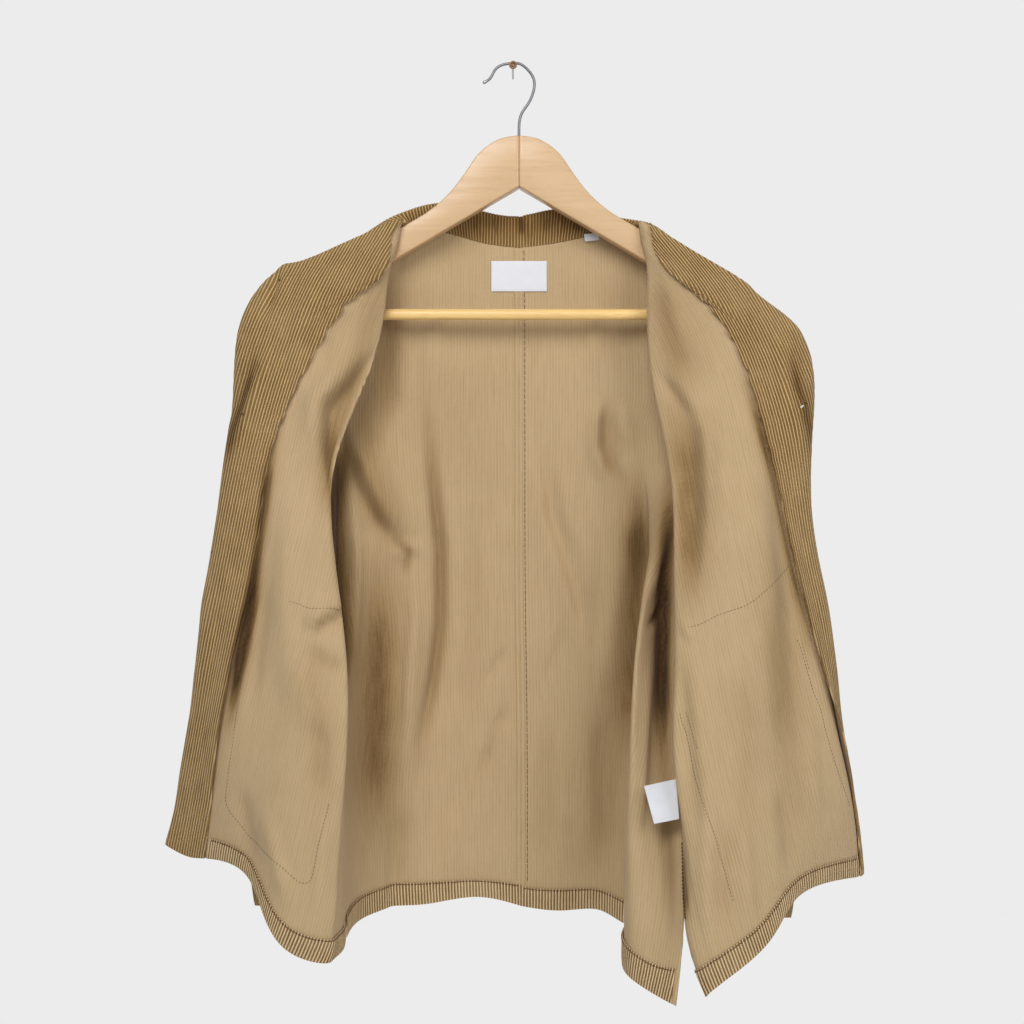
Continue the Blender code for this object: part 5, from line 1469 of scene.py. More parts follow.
def make_button(name, node, middle, outward):
    """A turned button with a raised rim, a dished middle and four sewn holes."""
    turn = outward.to_track_quat("Z", "Y").to_euler()
    made = start_primitive(
        bpy.ops.mesh.primitive_cylinder_add, vertices=48, radius=BUTTON_DIAMETER / 2 * MM,
        depth=BUTTON_THICKNESS * MM,
    )
    in_edit_mode(
        made, lambda face: face.normal.z > 0.9,
        (bpy.ops.mesh.inset, {"thickness": BUTTON_RIM * MM}),
        (bpy.ops.mesh.inset, {"thickness": BUTTON_DISH * MM, "depth": -BUTTON_DISH * MM}),
    )
    in_edit_mode(made, lambda face: face.normal.z < -0.9, (bpy.ops.mesh.inset, {"thickness": 2.6 * MM}))
    rounded(made, 0.7, 3)
    bpy.ops.object.modifier_apply(modifier="rounded edges")
    for across, up in HOLES:
        drill = start_primitive(
            bpy.ops.mesh.primitive_cylinder_add, vertices=16, radius=HOLE_DIAMETER / 2 * MM,
            depth=BUTTON_THICKNESS * 2 * MM, location=(across * MM, up * MM, 0),
        )
        cut = made.modifiers.new("hole", "BOOLEAN")
        cut.operation = "DIFFERENCE"
        cut.object = drill
        bpy.context.view_layer.objects.active = made
        bpy.ops.object.modifier_apply(modifier="hole")
        bpy.data.objects.remove(drill)
    made.rotation_euler = turn
    made.location = Vector(middle) * MM
    settle(made, name, node, HORN)


def make_buttons():
    ends = []
    for i, (middle, outward) in enumerate(button_places()):
        make_button(f"button_{i + 1}_horn", f"button_{i + 1}", middle, outward)
        turned = outward.to_track_quat("Z", "Y")
        for (x, y), (u, v) in ((HOLES[0], HOLES[2]), (HOLES[1], HOLES[3])):
            height = BUTTON_THICKNESS / 2 - HOLE_THREAD_DEPTH
            start = np.array(turned @ Vector((x, y, height))) + middle
            end = np.array(turned @ Vector((u, v, height))) + middle
            ends.append((start, end, np.array(outward)))
    sew("button_threads", ends, DARK_THREAD, HOLE_THREAD)


# ---------------------------------------------------------------- sewing


def sew(name, ends, look, thickness=None):
    """One mesh of stitches: each a short thread from one end to the other, bowed out of the cloth."""
    radius = (thickness or sizes().thread * 1000) / 2
    corners, faces = [], []
    for start, end, outward in ends:
        run = end - start
        reach = np.linalg.norm(run)
        if reach < 1e-6:
            continue
        run = run / reach
        outward = outward - run * (outward @ run)
        outward = outward / max(np.linalg.norm(outward), 1e-9)
        aside = np.cross(run, outward)
        first = len(corners)
        corners.append(start - outward * radius)
        for share, rise in STITCH_BOW:
            middle = start + run * reach * share + outward * radius * rise
            for turn in range(5):
                angle = math.tau * turn / 5
                corners.append(middle + radius * (math.cos(angle) * outward + math.sin(angle) * aside))
        corners.append(end - outward * radius)
        last = len(corners) - 1
        for turn in range(5):
            after = (turn + 1) % 5
            faces.append((first, first + 1 + after, first + 1 + turn))
            for ring in (0, 5):
                at = first + 1 + ring
                faces.append((at + turn, at + after, at + after + 5, at + turn + 5))
            faces.append((last, first + 11 + turn, first + 11 + after))
    mesh = bpy.data.meshes.new(name)
    mesh.from_pydata((np.array(corners) * MM).tolist(), [], faces)
    if signed_volume(mesh) < 0:
        mesh.flip_normals()
    return finished(name, mesh, None, (look,))


def stitches(line, kind=None):
    """Cuts a line of points with their outward directions into stitches."""
    spots, outwards = line
    stitch, gap = kind or (sizes().stitch * 1000, sizes().stitch_gap * 1000)
    run = run_along(spots)
    ends = []
    at = gap / 2
    while at + stitch <= run[-1]:
        pair = []
        for place_on in (at, at + stitch):
            pair.append(np.array([np.interp(place_on, run, spots[:, k]) for k in range(3)]))
        outward = np.array([np.interp(at + stitch / 2, run, outwards[:, k]) for k in range(3)])
        ends.append((*pair, outward))
        at += stitch + gap
    return ends


def along_panel(panel, columns, rows, height):
    """A line through column and row numbers, at a height over a panel's folded surface."""
    spots, outwards = panel.at(columns, rows)
    return spots + outwards * height, outwards


def on_panel(panel, path, height, first, last):
    """A line along a path of (across, drop) on the elevation, at a height over a panel's folded surface."""
    return along_panel(panel, *panel.find(path, first, last), height)


def beside(path, offset):
    """The same path, `offset` millimetres to one side."""
    path = np.array(path, float)
    run = np.gradient(path, axis=0)
    run /= np.linalg.norm(run, axis=1, keepdims=True)
    return path + offset * np.stack((run[:, 1], -run[:, 0]), axis=1)


def on_facing(side, path):
    """A path laid on top of a facing's pile."""
    panel = PANELS[side, "front"]
    columns, rows = panel.find(path, FACE_COLUMN, EDGE_COLUMN)
    lift = facing_lift(columns, rows).diagonal() + FACING_STEP + sizes().wall * 500
    return along_panel(panel, columns, rows, lift[:, None])


def make_stitches():
    half = sizes().wall * 500
    hems, tan, pockets = [], [], []
    for side in ("right", "left"):
        back, front = PANELS[side, "back"], PANELS[side, "front"]
        rows = np.linspace(0.35, back.hem_row - 0.05, SEAM_POINTS)
        columns = np.full(SEAM_POINTS, CENTRE_STITCH_COLUMN)
        line = along_panel(back, columns, rows, half + CENTRE_FELL_HEIGHT)
        tan += stitches(line, FELL_STITCH)
        if side == "left":
            line = along_panel(back, np.full(SEAM_POINTS, CENTRE_SEAM_COLUMN), rows, half - 0.1)
            seam = stitches(line, SEAM_STITCH)
        for panel, first, last in (
            (back, 0.05, back.last_column - SIDE_INSET), (front, SIDE_INSET, FACE_COLUMN - FACE_INSET)
        ):
            rows = np.full(HEM_POINTS, panel.hem_row + HEM_STITCH_ROWS)
            line = along_panel(panel, np.linspace(first, last, HEM_POINTS), rows, half + LAYER_STEP)
            hems += stitches(line, HEM_STITCH)
    for side, path in POCKET_STITCHES:
        pockets += stitches(on_panel(PANELS[side, "front"], path, half, *POCKET_COLUMNS))
    # The first are dark dashes of painted shade at the buttonhole's end; the rest are the button thread
    # marks.
    knots_and_hole_shade = stitches(on_facing("left", BUTTONHOLE_END), KNOT_STITCH)
    for path in BUTTON_THREADS:
        knots_and_hole_shade += stitches(on_facing("right", path), KNOT_STITCH)
    buttonhole = stitches(on_facing("left", BUTTONHOLE), BUTTONHOLE_STITCH)
    for offset in (BUTTONHOLE_EDGE, -BUTTONHOLE_EDGE):
        tan += stitches(on_facing("left", beside(BUTTONHOLE, offset)), BUTTONHOLE_EDGE_STITCH)
    vent = PANELS["left", "front"]
    # Dark dashes down the vent's opening: painted shadow of the gap.
    vent_shadow_line = stitches(on_panel(vent, VENT_SLIT, half, *VENT_COLUMNS), VENT_SHADOW_DASH)
    edge = beside(VENT_SLIT, VENT_EDGE)
    tan += stitches(on_panel(vent, edge, half, *VENT_COLUMNS), VENT_EDGE_STITCH)
    tan += stitches(on_panel(vent, BAR_TACK, half, *VENT_COLUMNS), TACK_STITCH)
    sew("brown_stitches", hems, DARK_THREAD, HEM_THREAD)
    sew("vent_slit_shadow", vent_shadow_line, DARK_THREAD, SLIT_THREAD)
    sew("button_threads", knots_and_hole_shade, DARK_THREAD, SLIT_THREAD)
    sew("pocket_stitches", pockets, TAN_THREAD_IN_PAINTED_SHADE)
    sew("centre_seam", seam, TAN_THREAD_IN_PAINTED_SHADE, SEAM_THREAD)
    sew("tan_stitches", tan, TAN_THREAD)
    sew("buttonhole_slit", buttonhole, TAPE_THREAD, BUTTONHOLE_THREAD)


# ---------------------------------------------------------------- sizes and colours to change


def linear(*display):
    """Scene-linear values of a colour that is given as it shows, in 0 to 255."""
    shares = [value / 255 for value in display]
    return tuple(s / 12.92 if s <= 0.04045 else ((s + 0.055) / 1.055) ** 2.4 for s in shares)


def length(name, about, default):
    return bpy.props.FloatProperty(name=name, description=about, default=default, min=0.0, unit="LENGTH")


def colour(name, about, *display):
    return bpy.props.FloatVectorProperty(
        name=name, description=about, default=linear(*display), subtype="COLOR", min=0.0, max=1.0,
    )


class JacketSizes(bpy.types.PropertyGroup):
    """Sizes of the cloth and its sewing."""

    wale_pitch: length("Wale pitch", "Distance from one rib of the corduroy to the next", 0.0031)
    wale_height: length("Wale height", "How far a rib's pile stands above the grooves", 0.0007)
    wall: length("Cloth thickness", "Thickness of one layer of the corduroy", 0.0016)
    row_step: length("Row step", "Distance between the rows of points down the cloth", 0.0052)
    stitch: length("Stitch length", "Length of one machine stitch round the pockets", 0.0024)
    stitch_gap: length("Stitch gap", "Distance from the end of one of those stitches to the next", 0.001)
    thread: length("Thread diameter", "Diameter of the thread of the seams and pockets", 0.0005)


class JacketColours(bpy.types.PropertyGroup):
    """Colours of the cloth, the trimmings, the hanger and the backdrop."""

    # The crest colours are partly the pile's own lighter top and partly a painted highlight along each rib's
    # lit top; the groove colour is partly the pile's own tone and partly painted shade.
    crest: colour("Crest", "Light tip of the pile along each rib", 207, 177, 130)
    hem_crest: colour("Hem crest", "Tips of the pile on the turned-up hems", 222, 198, 160)
    groove: colour("Groove", "Body of the pile between the crests", 128, 97, 50)
    reverse: colour("Reverse", "Woven reverse of the corduroy", 199, 173, 135)
    reverse_shade: colour("Reverse shade", "Darker yarns of the reverse", 172, 146, 106)
    # Dark thread also draws the painted shadow in the vent's opening and the painted shade at the
    # buttonhole's end.
    dark_thread: colour("Dark thread", "Thread of the hems, the vent and the buttons", 104, 70, 34)
    # The pocket and centre seam threads use the tan thread darkened as painted shade.
    tan_thread: colour("Tan thread", "Thread of the seams, and shaded that of the pockets", 176, 148, 104)
    wood: colour("Wood", "Pale wood of the hanger", 212, 177, 134)
    bar_wood: colour("Bar wood", "Amber wood of the hanger's bar", 252, 212, 138)
    grain: colour("Grain", "Grain lines of the hanger's wood", 186, 142, 96)
    tape: colour("Tape", "Woven tape of the bare labels, and the pale buttonhole", 230, 232, 239)
    horn: colour("Horn", "Buttons", 104, 76, 50)
    horn_pale: colour("Pale horn", "Light clouds in the buttons", 172, 138, 96)
    wire: colour("Wire", "The hanger's hook", 140, 140, 145)
    brass: colour("Brass", "The peg in the wall", 138, 104, 78)
    backdrop: colour("Backdrop", "Plain wall and floor", 236, 236, 236)


def colours():
    return bpy.context.scene.jacket_colours


# ---------------------------------------------------------------- materials


WOOD_RINGS = 34.0
# Painted shade of the creases in the colour: the hollow attribute, broken up by the nap, makes it first
# warmer and then, where it is deep, dark.
PAINTED_SHADE_NAP = (0.92, 1.08)
PAINTED_SHADE_GAIN = 1.7
DEEP_PAINTED_SHADE_FROM = 0.75
PAINTED_SHADE_WARM_TINT = (0.55, 0.47, 0.34)
PAINTED_SHADE_DEEP_TINT = (0.13, 0.09, 0.06)


class Wiring:
    """Adds nodes to one node tree and joins them."""

    def __init__(self, tree):
        self.tree = tree

    def feed(self, socket, value):
        if isinstance(value, bpy.types.NodeSocket):
            self.tree.links.new(value, socket)
        elif socket.type == "RGBA" and len(value) == 3:
            socket.default_value = (*value, 1.0)
        else:
            socket.default_value = value

    def fill(self, node, inputs):
        for socket, value in inputs.items():
            self.feed(node.inputs[socket], value)

    def add(self, kind, inputs=None, **settings):
        node = self.tree.nodes.new(f"ShaderNode{kind}")
        for name, value in settings.items():
            setattr(node, name, value)
        self.fill(node, inputs or {})
        return node

    def maths(self, operation, *values):
        return self.add("Math", dict(enumerate(values)), operation=operation).outputs[0]

    def vector(self, operation, *values):
        return self.add("VectorMath", dict(enumerate(values)), operation=operation).outputs[0]

    def wave(self, at, turns):
        """A sine along a value."""
        return self.maths("SINE", self.maths("MULTIPLY", at, turns))

    def halved(self, wave):
        """A wave from -1 to 1, brought to 0 to 1."""
        return self.maths("MULTIPLY_ADD", wave, 0.5, 0.5)

    def mix(self, share, first, second):
        return self.add("Mix", {0: share, 6: first, 7: second}, data_type="RGBA").outputs[2]

    def ramp(self, value, low, high, to_low=0.0, to_high=1.0):
        spread = {0: value, 1: low, 2: high, 3: to_low, 4: to_high}
        return self.add("MapRange", spread, interpolation_type="SMOOTHSTEP").outputs[0]

    def noise(self, at, scale, detail=2.0, roughness=0.5):
        inputs = {"Vector": at, "Scale": scale, "Detail": detail, "Roughness": roughness}
        return self.add("TexNoise", inputs).outputs[0]

    def group(self, name, inputs):
        node = self.tree.nodes.new("ShaderNodeGroup")
        node.node_tree = bpy.data.node_groups[name]
        self.fill(node, inputs)
        return node.outputs

    def weave(self):
        """The cloth's own coordinates, in wales across and along."""
        return self.add("UVMap", uv_map="weave").outputs[0]

    def place(self):
        return self.add("TexCoord").outputs["Object"]


SOCKETS = {"value": "NodeSocketFloat", "vector": "NodeSocketVector"}


def node_group(name, inputs, outputs):
    """An empty shader node group with its sockets, and the wiring inside it."""
    tree = bpy.data.node_groups.new(name, "ShaderNodeTree")
    for socket, kind in inputs.items():
        tree.interface.new_socket(name=socket, in_out="INPUT", socket_type=SOCKETS[kind])
    for socket in outputs:
        tree.interface.new_socket(name=socket, in_out="OUTPUT", socket_type="NodeSocketFloat")
    wiring = Wiring(tree)
    start, end = tree.nodes.new("NodeGroupInput"), tree.nodes.new("NodeGroupOutput")
    return wiring, start.outputs, end.inputs


def wale_bands():
    """Ribs of the pile: 1 on each light crest, with an uneven edge, and the height of the tufts."""
    # The light crest is partly a painted highlight along each rib's lit top.
    w, given, out = node_group("wale bands", {"Weave": "vector", "Crest width": "value"}, ("Crest", "Tufts"))
    stretched = w.vector("MULTIPLY", given["Weave"], (0.5, 0.16, 1.0))
    wander = w.maths("MULTIPLY", w.maths("SUBTRACT", w.noise(stretched, 1.0), 0.5), 0.22)
    across = w.maths("ADD", w.add("SeparateXYZ", {0: given["Weave"]}).outputs[0], wander)
    rib = w.maths("ABSOLUTE", w.wave(across, math.pi))
    tufts = w.noise(w.vector("MULTIPLY", given["Weave"], (3.0, 1.6, 1.0)), 1.6, 3.0, 0.65)
    ragged = w.maths("ADD", rib, w.maths("MULTIPLY", w.maths("SUBTRACT", tufts, 0.5), 0.35))
    low = w.maths("SUBTRACT", 1.0, given["Crest width"])
    w.feed(out["Crest"], w.ramp(ragged, low, 1.02))
    w.feed(out["Tufts"], tufts)


def nap_mottle():
    """How the pile lies: broad soft patches and short strokes along the wales."""
    w, given, out = node_group("nap mottle", {"Place": "vector", "Weave": "vector"}, ("Patches", "Strokes"))
    w.feed(out["Patches"], w.noise(given["Place"], 26.0, 3.0, 0.55))
    w.feed(out["Strokes"], w.noise(w.vector("MULTIPLY", given["Weave"], (0.9, 0.12, 1.0)), 1.0, 3.0, 0.6))


def plain_weave():
    """Yarns of a woven face: their height, the warp's uneven streaks and the wales showing through."""
    inputs = {"Weave": "vector", "Fineness": "value"}
    w, given, out = node_group("plain weave", inputs, ("Yarns", "Streaks", "Ribs"))
    scaled = w.add("VectorMath", {0: given["Weave"], "Scale": given["Fineness"]}, operation="SCALE")
    place = w.add("SeparateXYZ", {0: scaled.outputs[0]})
    warp, weft = (w.wave(place.outputs[k], math.tau) for k in (0, 1))
    w.feed(out["Yarns"], w.halved(w.maths("MULTIPLY", warp, weft)))
    w.feed(out["Streaks"], w.noise(w.vector("MULTIPLY", given["Weave"], (1.6, 0.05, 1.0)), 1.0, 4.0, 0.62))
    across = w.add("SeparateXYZ", {0: given["Weave"]}).outputs[0]
    w.feed(out["Ribs"], w.halved(w.wave(across, math.tau)))


def wood_grain():
    """Long grain and fine pores of wood that runs along X."""
    w, given, out = node_group("wood grain", {"Place": "vector", "Fineness": "value"}, ("Grain", "Pores"))
    long = w.vector("MULTIPLY", given["Place"], (2.2, 26.0, 26.0))
    wavy = w.noise(long, given["Fineness"], 4.0, 0.6)
    w.feed(out["Grain"], w.halved(w.wave(wavy, WOOD_RINGS)))
    fine = w.vector("MULTIPLY", given["Place"], (60.0, 1600.0, 1600.0))
    w.feed(out["Pores"], w.ramp(w.noise(fine, 1.0, 2.0), 0.6, 0.72))


def toned(tone, share):
    """A colour made darker or lighter."""
    return [min(value * share, 1.0) for value in tone]


def new_material(name):
    made = bpy.data.materials.new(name)
    made.use_nodes = True
    shader = made.node_tree.nodes["Principled BSDF"]
    return Wiring(made.node_tree), shader


def painted_crease_shade(w, shader, tone, nap):
    """Paints shade into a cloth's colour from its hollow attribute: warmer where it is hollow, dark where
    deep.
    """
    hollow = w.add("Attribute", attribute_name="hollow").outputs["Fac"]
    hollow = w.maths("MULTIPLY", hollow, w.ramp(nap["Strokes"], 0.3, 0.7, *PAINTED_SHADE_NAP))
    warm = w.maths("MINIMUM", w.maths("MULTIPLY", hollow, PAINTED_SHADE_GAIN), 1.0)
    deep = w.maths("MAXIMUM", w.maths("MULTIPLY_ADD", hollow, PAINTED_SHADE_GAIN, -DEEP_PAINTED_SHADE_FROM), 0.0)
    warmed = w.mix(warm, tone, w.vector("MULTIPLY", tone, PAINTED_SHADE_WARM_TINT))
    w.feed(shader.inputs["Base Color"], w.mix(deep, warmed, w.vector("MULTIPLY", tone, PAINTED_SHADE_DEEP_TINT)))


def bumped(w, shader, height, strength, distance):
    bump = w.add("Bump", {"Height": height, "Strength": strength, "Distance": distance})
    w.feed(shader.inputs["Normal"], bump.outputs[0])


def pile_material(name, crest_width, light, dark):
    w, shader = new_material(name)
    weave, place = w.weave(), w.place()
    bands = w.group("wale bands", {"Weave": weave, "Crest width": crest_width})
    nap = w.group("nap mottle", {"Place": place, "Weave": weave})
    # Crests take the light colour, partly a painted highlight on each rib's lit top; the body is partly
    # painted shade.
    body = w.mix(w.ramp(nap["Strokes"], 0.3, 0.75), toned(dark, 0.84), toned(dark, 1.16))
    tips_and_highlight = w.mix(w.ramp(nap["Strokes"], 0.25, 0.7), toned(light, 0.86), light)
    ribbed = w.mix(bands["Crest"], body, tips_and_highlight)
    worn = w.mix(w.ramp(nap["Patches"], 0.35, 0.8, 0.0, 0.16), ribbed, light)
    painted_crease_shade(w, shader, worn, nap)
    w.fill(shader, {
        "Roughness": w.ramp(bands["Tufts"], 0.2, 0.8, 0.78, 0.95), "Sheen Weight": 0.25,
        "Sheen Roughness": 0.45, "Sheen Tint": (0.95, 0.86, 0.68), "Specular IOR Level": 0.15,
    })
    height = w.maths("ADD", bands["Tufts"], w.maths("MULTIPLY", bands["Crest"], 0.5))
    bumped(w, shader, height, 0.7, 0.0005)


def reverse_material(name, light, dark):
    w, shader = new_material(name)
    weave, place = w.weave(), w.place()
    yarns = w.group("plain weave", {"Weave": weave, "Fineness": 5.0})
    nap = w.group("nap mottle", {"Place": place, "Weave": weave})
    ribs = w.maths("MULTIPLY", w.ramp(yarns["Ribs"], 0.55, 1.0), w.ramp(nap["Strokes"], 0.3, 0.7, 0.1, 0.5))
    shade = w.maths("ADD", ribs, w.ramp(yarns["Streaks"], 0.3, 0.8, 0.0, 0.22))
    shade = w.maths("ADD", shade, w.ramp(nap["Patches"], 0.3, 0.8, 0.0, 0.16))
    shade = w.maths("ADD", shade, w.maths("MULTIPLY", yarns["Yarns"], 0.12))
    painted_crease_shade(w, shader, w.mix(shade, light, dark), nap)
    w.fill(shader, {
        "Roughness": w.ramp(yarns["Streaks"], 0.2, 0.8, 0.82, 0.95), "Sheen Weight": 0.12,
        "Sheen Roughness": 0.5, "Specular IOR Level": 0.12,
    })
    height = w.maths("ADD", w.maths("MULTIPLY", yarns["Yarns"], 0.4), w.maths("MULTIPLY", yarns["Ribs"], 0.8))
    bumped(w, shader, w.maths("ADD", height, yarns["Streaks"]), 0.5, 0.0004)


def tape_material():
    w, shader = new_material(TAPE)
    weave = w.weave()
    yarns = w.group("plain weave", {"Weave": weave, "Fineness": 1.6})
    nap = w.group("nap mottle", {"Place": w.place(), "Weave": weave})
    white = colours().tape
    w.fill(shader, {
        "Base Color": w.mix(w.ramp(nap["Patches"], 0.3, 0.8), white, toned(white, 0.9)),
        "Roughness": w.ramp(yarns["Yarns"], 0.0, 1.0, 0.6, 0.8), "Sheen Weight": 0.15,
    })
    bumped(w, shader, yarns["Yarns"], 0.35, 0.0002)


def thread_material(name, tone):
    w, shader = new_material(name)
    strand = w.noise(w.place(), 1800.0, 2.0)
    w.fill(shader, {
        "Base Color": w.mix(w.ramp(strand, 0.3, 0.7), toned(tone, 0.75), tone),
        "Roughness": w.ramp(strand, 0.2, 0.8, 0.45, 0.7),
    })
    bumped(w, shader, strand, 0.5, 0.0002)


def wood_material(name, pale):
    w, shader = new_material(name)
    grain = w.group("wood grain", {"Place": w.place(), "Fineness": 1.4})
    dark = colours().grain
    wood = w.mix(w.ramp(grain["Grain"], 0.2, 1.0, 0.0, 0.16), pale, dark)
    w.fill(shader, {
        "Base Color": w.mix(w.maths("MULTIPLY", grain["Pores"], 0.5), wood, dark),
        "Roughness": w.ramp(grain["Grain"], 0.0, 1.0, 0.34, 0.46), "Coat Weight": 0.25,
        "Coat Roughness": 0.25,
    })
    height = w.maths("SUBTRACT", w.maths("MULTIPLY", grain["Grain"], 0.4), grain["Pores"])
    bumped(w, shader, height, 0.15, 0.0002)


def metal_material(name, tone, shine, metallic=1.0):
    w, shader = new_material(name)
    drawn = w.noise(w.vector("MULTIPLY", w.place(), (500.0, 500.0, 200.0)), 1.0, 2.0)
    tarnish = w.noise(w.place(), 60.0, 2.0)
    w.fill(shader, {
        "Base Color": w.mix(w.ramp(tarnish, 0.35, 0.75), tone, toned(tone, 0.8)),
        "Roughness": w.ramp(drawn, 0.2, 0.8, shine, shine + 0.15), "Metallic": metallic,
    })
    bumped(w, shader, drawn, 0.05, 0.00005)


def horn_material():
    w, shader = new_material(HORN)
    cloudy = w.noise(w.vector("MULTIPLY", w.place(), (90.0, 160.0, 40.0)), 1.0, 5.0, 0.6)
    flecks = w.noise(w.place(), 900.0, 3.0)
    tone = colours()
    clouds = w.mix(w.ramp(cloudy, 0.42, 0.7), tone.horn, tone.horn_pale)
    w.fill(shader, {
        "Base Color": w.mix(w.ramp(flecks, 0.6, 0.8, 0.0, 0.6), clouds, toned(tone.horn, 0.4)),
        "Roughness": w.ramp(flecks, 0.2, 0.8, 0.25, 0.4), "Coat Weight": 0.3,
    })
    bumped(w, shader, flecks, 0.08, 0.0001)


def backdrop_material(name, glow):
    w, shader = new_material(name)
    tone = colours().backdrop
    shader.inputs["Roughness"].default_value = 0.9
    if glow:
        w.fill(shader, {
            "Base Color": (0, 0, 0), "Specular IOR Level": 0.0,
            "Emission Color": tone, "Emission Strength": 1.0,
        })
    else:
        grit = w.noise(w.place(), 8.0, 2.0)
        w.feed(shader.inputs["Base Color"], w.mix(w.ramp(grit, 0.3, 0.7), tone, toned(tone, 0.99)))


def make_materials():
    wale_bands()
    nap_mottle()
    plain_weave()
    wood_grain()
    tone = colours()
    pile_material(CORDUROY, 0.3, tone.crest, tone.groove)
    pile_material(HEM_CORDUROY, 0.5, tone.hem_crest, tone.groove)
    reverse_material(REVERSE, tone.reverse, tone.reverse_shade)
    tape_material()
    thread_material(DARK_THREAD, tone.dark_thread)
    thread_material(TAN_THREAD, tone.tan_thread)
    # The same tan thread darkened to stand in shade: painted shade.
    thread_material(TAN_THREAD_IN_PAINTED_SHADE, toned(tone.tan_thread, 0.3))
    thread_material(TAPE_THREAD, tone.tape)
    wood_material(WOOD, tone.wood)
    wood_material(BAR_WOOD, tone.bar_wood)
    metal_material(STEEL, tone.wire, 0.42, 0.7)
    metal_material(TIP, toned(tone.wire, 1.7), 0.4, 0.7)
    metal_material(PAINT, tone.backdrop, 0.7, 0.0)
    metal_material(BRASS, tone.brass, 0.4, 0.8)
    horn_material()


# ---------------------------------------------------------------- stage


def soft_light(light):
    """A round soft lamp that looks at the jacket's middle."""
    lamp = bpy.data.lights.new(light.name, "AREA")
    lamp.shape = "DISK"
    lamp.size = light.size
    lamp.energy = light.power
    made = bpy.data.objects.new(light.name, lamp)
    bpy.context.scene.collection.objects.link(made)
    made.location = light.spot
    made.rotation_euler = (Vector(LIT_POINT) - Vector(light.spot)).to_track_quat("-Z", "Y").to_euler()


def flat_sheet(name, size, location, rotation, look):
    made = start_primitive(bpy.ops.mesh.primitive_plane_add, size=size, location=location, rotation=rotation)
    bpy.ops.object.transform_apply(location=True, rotation=True)
    made.name = made.data.name = name
    made.data.materials.append(bpy.data.materials[look])


def set_stage():
    """Plain pale wall and floor, soft lights from the front, and the camera."""
    scene = bpy.context.scene
    backdrop_material("lit wall", True)
    backdrop_material("pale floor", False)
    flat_sheet("wall", 14.0, (0, WALL_AWAY, 0), (math.radians(90), 0, 0), "lit wall")
    flat_sheet("floor", 14.0, (0, 0, FLOOR_DROP), (0, 0, 0), "pale floor")
    world = bpy.data.worlds.new("studio")
    world.use_nodes = True
    tone = colours().backdrop
    world.node_tree.nodes["Background"].inputs[0].default_value = (*tone, 1.0)
    world.node_tree.nodes["Background"].inputs[1].default_value = WORLD_LIGHT
    scene.world = world
    for light in LIGHTS:
        soft_light(light)
    lens = bpy.data.cameras.new("camera")
    lens.sensor_width = SENSOR_WIDTH
    lens.lens = SENSOR_WIDTH * EYE_DISTANCE / PICTURE_WIDTH
    lens.clip_end = 50.0
    camera = bpy.data.objects.new("camera", lens)
    scene.collection.objects.link(camera)
    camera.location = (EYE_ACROSS * MM, -EYE_DISTANCE * MM, -EYE_DROP * MM)
    camera.rotation_euler = (math.radians(90), 0, 0)
    scene.camera = camera
    scene.view_settings.view_transform = "Standard"


# ---------------------------------------------------------------- add-on


class JACKET_OT_materials(bpy.types.Operator):
    """Makes the cloth, thread, wood, metal and horn finishes."""

    bl_idname = "jacket.make_materials"
    bl_label = "Finishes"

    def execute(self, context):
        make_materials()
        return {"FINISHED"}


class JACKET_OT_hanger(bpy.types.Operator):
    """Makes the wooden hanger with its wire hook, and the peg that carries it."""

    bl_idname = "jacket.make_hanger"
    bl_label = "Hanger and peg"

    def execute(self, context):
        make_hanger()
        return {"FINISHED"}


class JACKET_OT_backs(bpy.types.Operator):
    """Makes both halves of the back and their hems."""

    bl_idname = "jacket.make_backs"
    bl_label = "Back"

    def execute(self, context):
        make_backs()
        return {"FINISHED"}


class JACKET_OT_fronts(bpy.types.Operator):
    """Makes the fronts with their facings, hems and pockets."""

    bl_idname = "jacket.make_fronts"
    bl_label = "Fronts"

    def execute(self, context):
        make_fronts()
        return {"FINISHED"}


class JACKET_OT_sleeves(bpy.types.Operator):
    """Makes both sleeves and their cuffs."""

    bl_idname = "jacket.make_sleeves"
    bl_label = "Sleeves"

    def execute(self, context):
        make_sleeves()
        return {"FINISHED"}


class JACKET_OT_collar(bpy.types.Operator):
    """Makes the collar."""

    bl_idname = "jacket.make_collar"
    bl_label = "Collar"

    def execute(self, context):
        make_collar()
        return {"FINISHED"}


class JACKET_OT_labels(bpy.types.Operator):
    """Makes the bare neck label, size tab and care label."""

    bl_idname = "jacket.make_labels"
    bl_label = "Bare labels"

    def execute(self, context):
        make_labels()
        return {"FINISHED"}


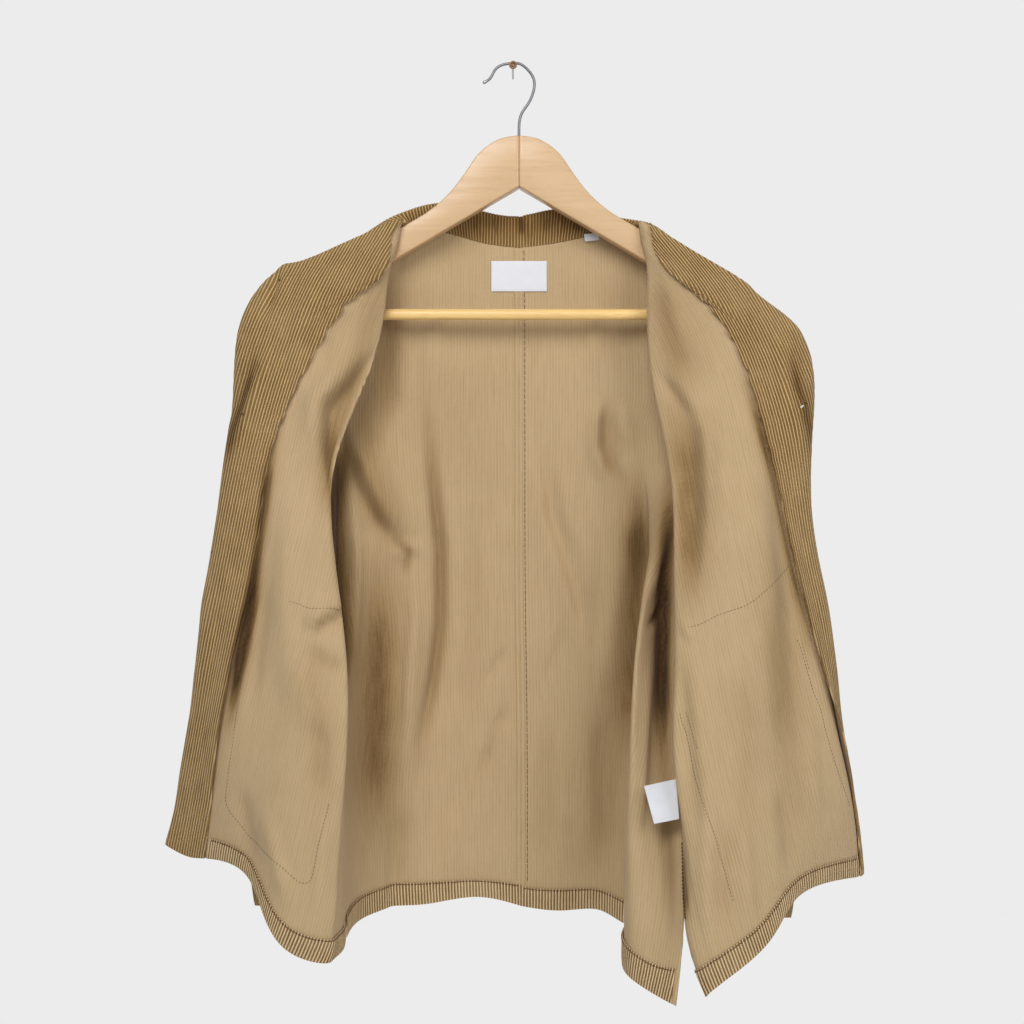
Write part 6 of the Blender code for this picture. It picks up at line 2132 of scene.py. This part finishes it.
class JACKET_OT_buttons(bpy.types.Operator):
    """Makes the four horn buttons and the threads in their holes."""

    bl_idname = "jacket.make_buttons"
    bl_label = "Buttons"

    def execute(self, context):
        make_buttons()
        return {"FINISHED"}


class JACKET_OT_stitches(bpy.types.Operator):
    """Sews the seams, hems, pockets, vent and buttonhole, with painted shadow in the vent's opening."""

    bl_idname = "jacket.make_stitches"
    bl_label = "Stitches"

    def execute(self, context):
        make_stitches()
        return {"FINISHED"}


class JACKET_OT_stage(bpy.types.Operator):
    """Sets the pale wall and floor, the soft lights and the camera."""

    bl_idname = "jacket.set_stage"
    bl_label = "Stage"

    def execute(self, context):
        set_stage()
        return {"FINISHED"}


STEPS = (
    JACKET_OT_materials, JACKET_OT_hanger, JACKET_OT_backs, JACKET_OT_fronts, JACKET_OT_sleeves,
    JACKET_OT_collar, JACKET_OT_labels, JACKET_OT_buttons, JACKET_OT_stitches, JACKET_OT_stage,
)


class JACKET_PT_panel(bpy.types.Panel):
    """Lists the steps that make the jacket, with its sizes and colours."""

    bl_idname = "JACKET_PT_panel"
    bl_label = "Corduroy jacket"
    bl_space_type = "VIEW_3D"
    bl_region_type = "UI"
    bl_category = "Jacket"

    def draw(self, context):
        for step in STEPS:
            self.layout.operator(step.bl_idname)
        for group in (context.scene.jacket_sizes, context.scene.jacket_colours):
            box = self.layout.box()
            for name in group.bl_rna.properties.keys():
                if name not in ("name", "rna_type"):
                    box.prop(group, name)


CLASSES = (JacketSizes, JacketColours, *STEPS, JACKET_PT_panel)


def register():
    for each in CLASSES:
        bpy.utils.register_class(each)
    bpy.types.Scene.jacket_sizes = bpy.props.PointerProperty(type=JacketSizes)
    bpy.types.Scene.jacket_colours = bpy.props.PointerProperty(type=JacketColours)


def unregister():
    del bpy.types.Scene.jacket_colours
    del bpy.types.Scene.jacket_sizes
    for each in reversed(CLASSES):
        bpy.utils.unregister_class(each)


def main():
    register()
    for step in STEPS:
        group, name = step.bl_idname.split(".")
        getattr(getattr(bpy.ops, group), name)()


if __name__ == "__main__":
    main()
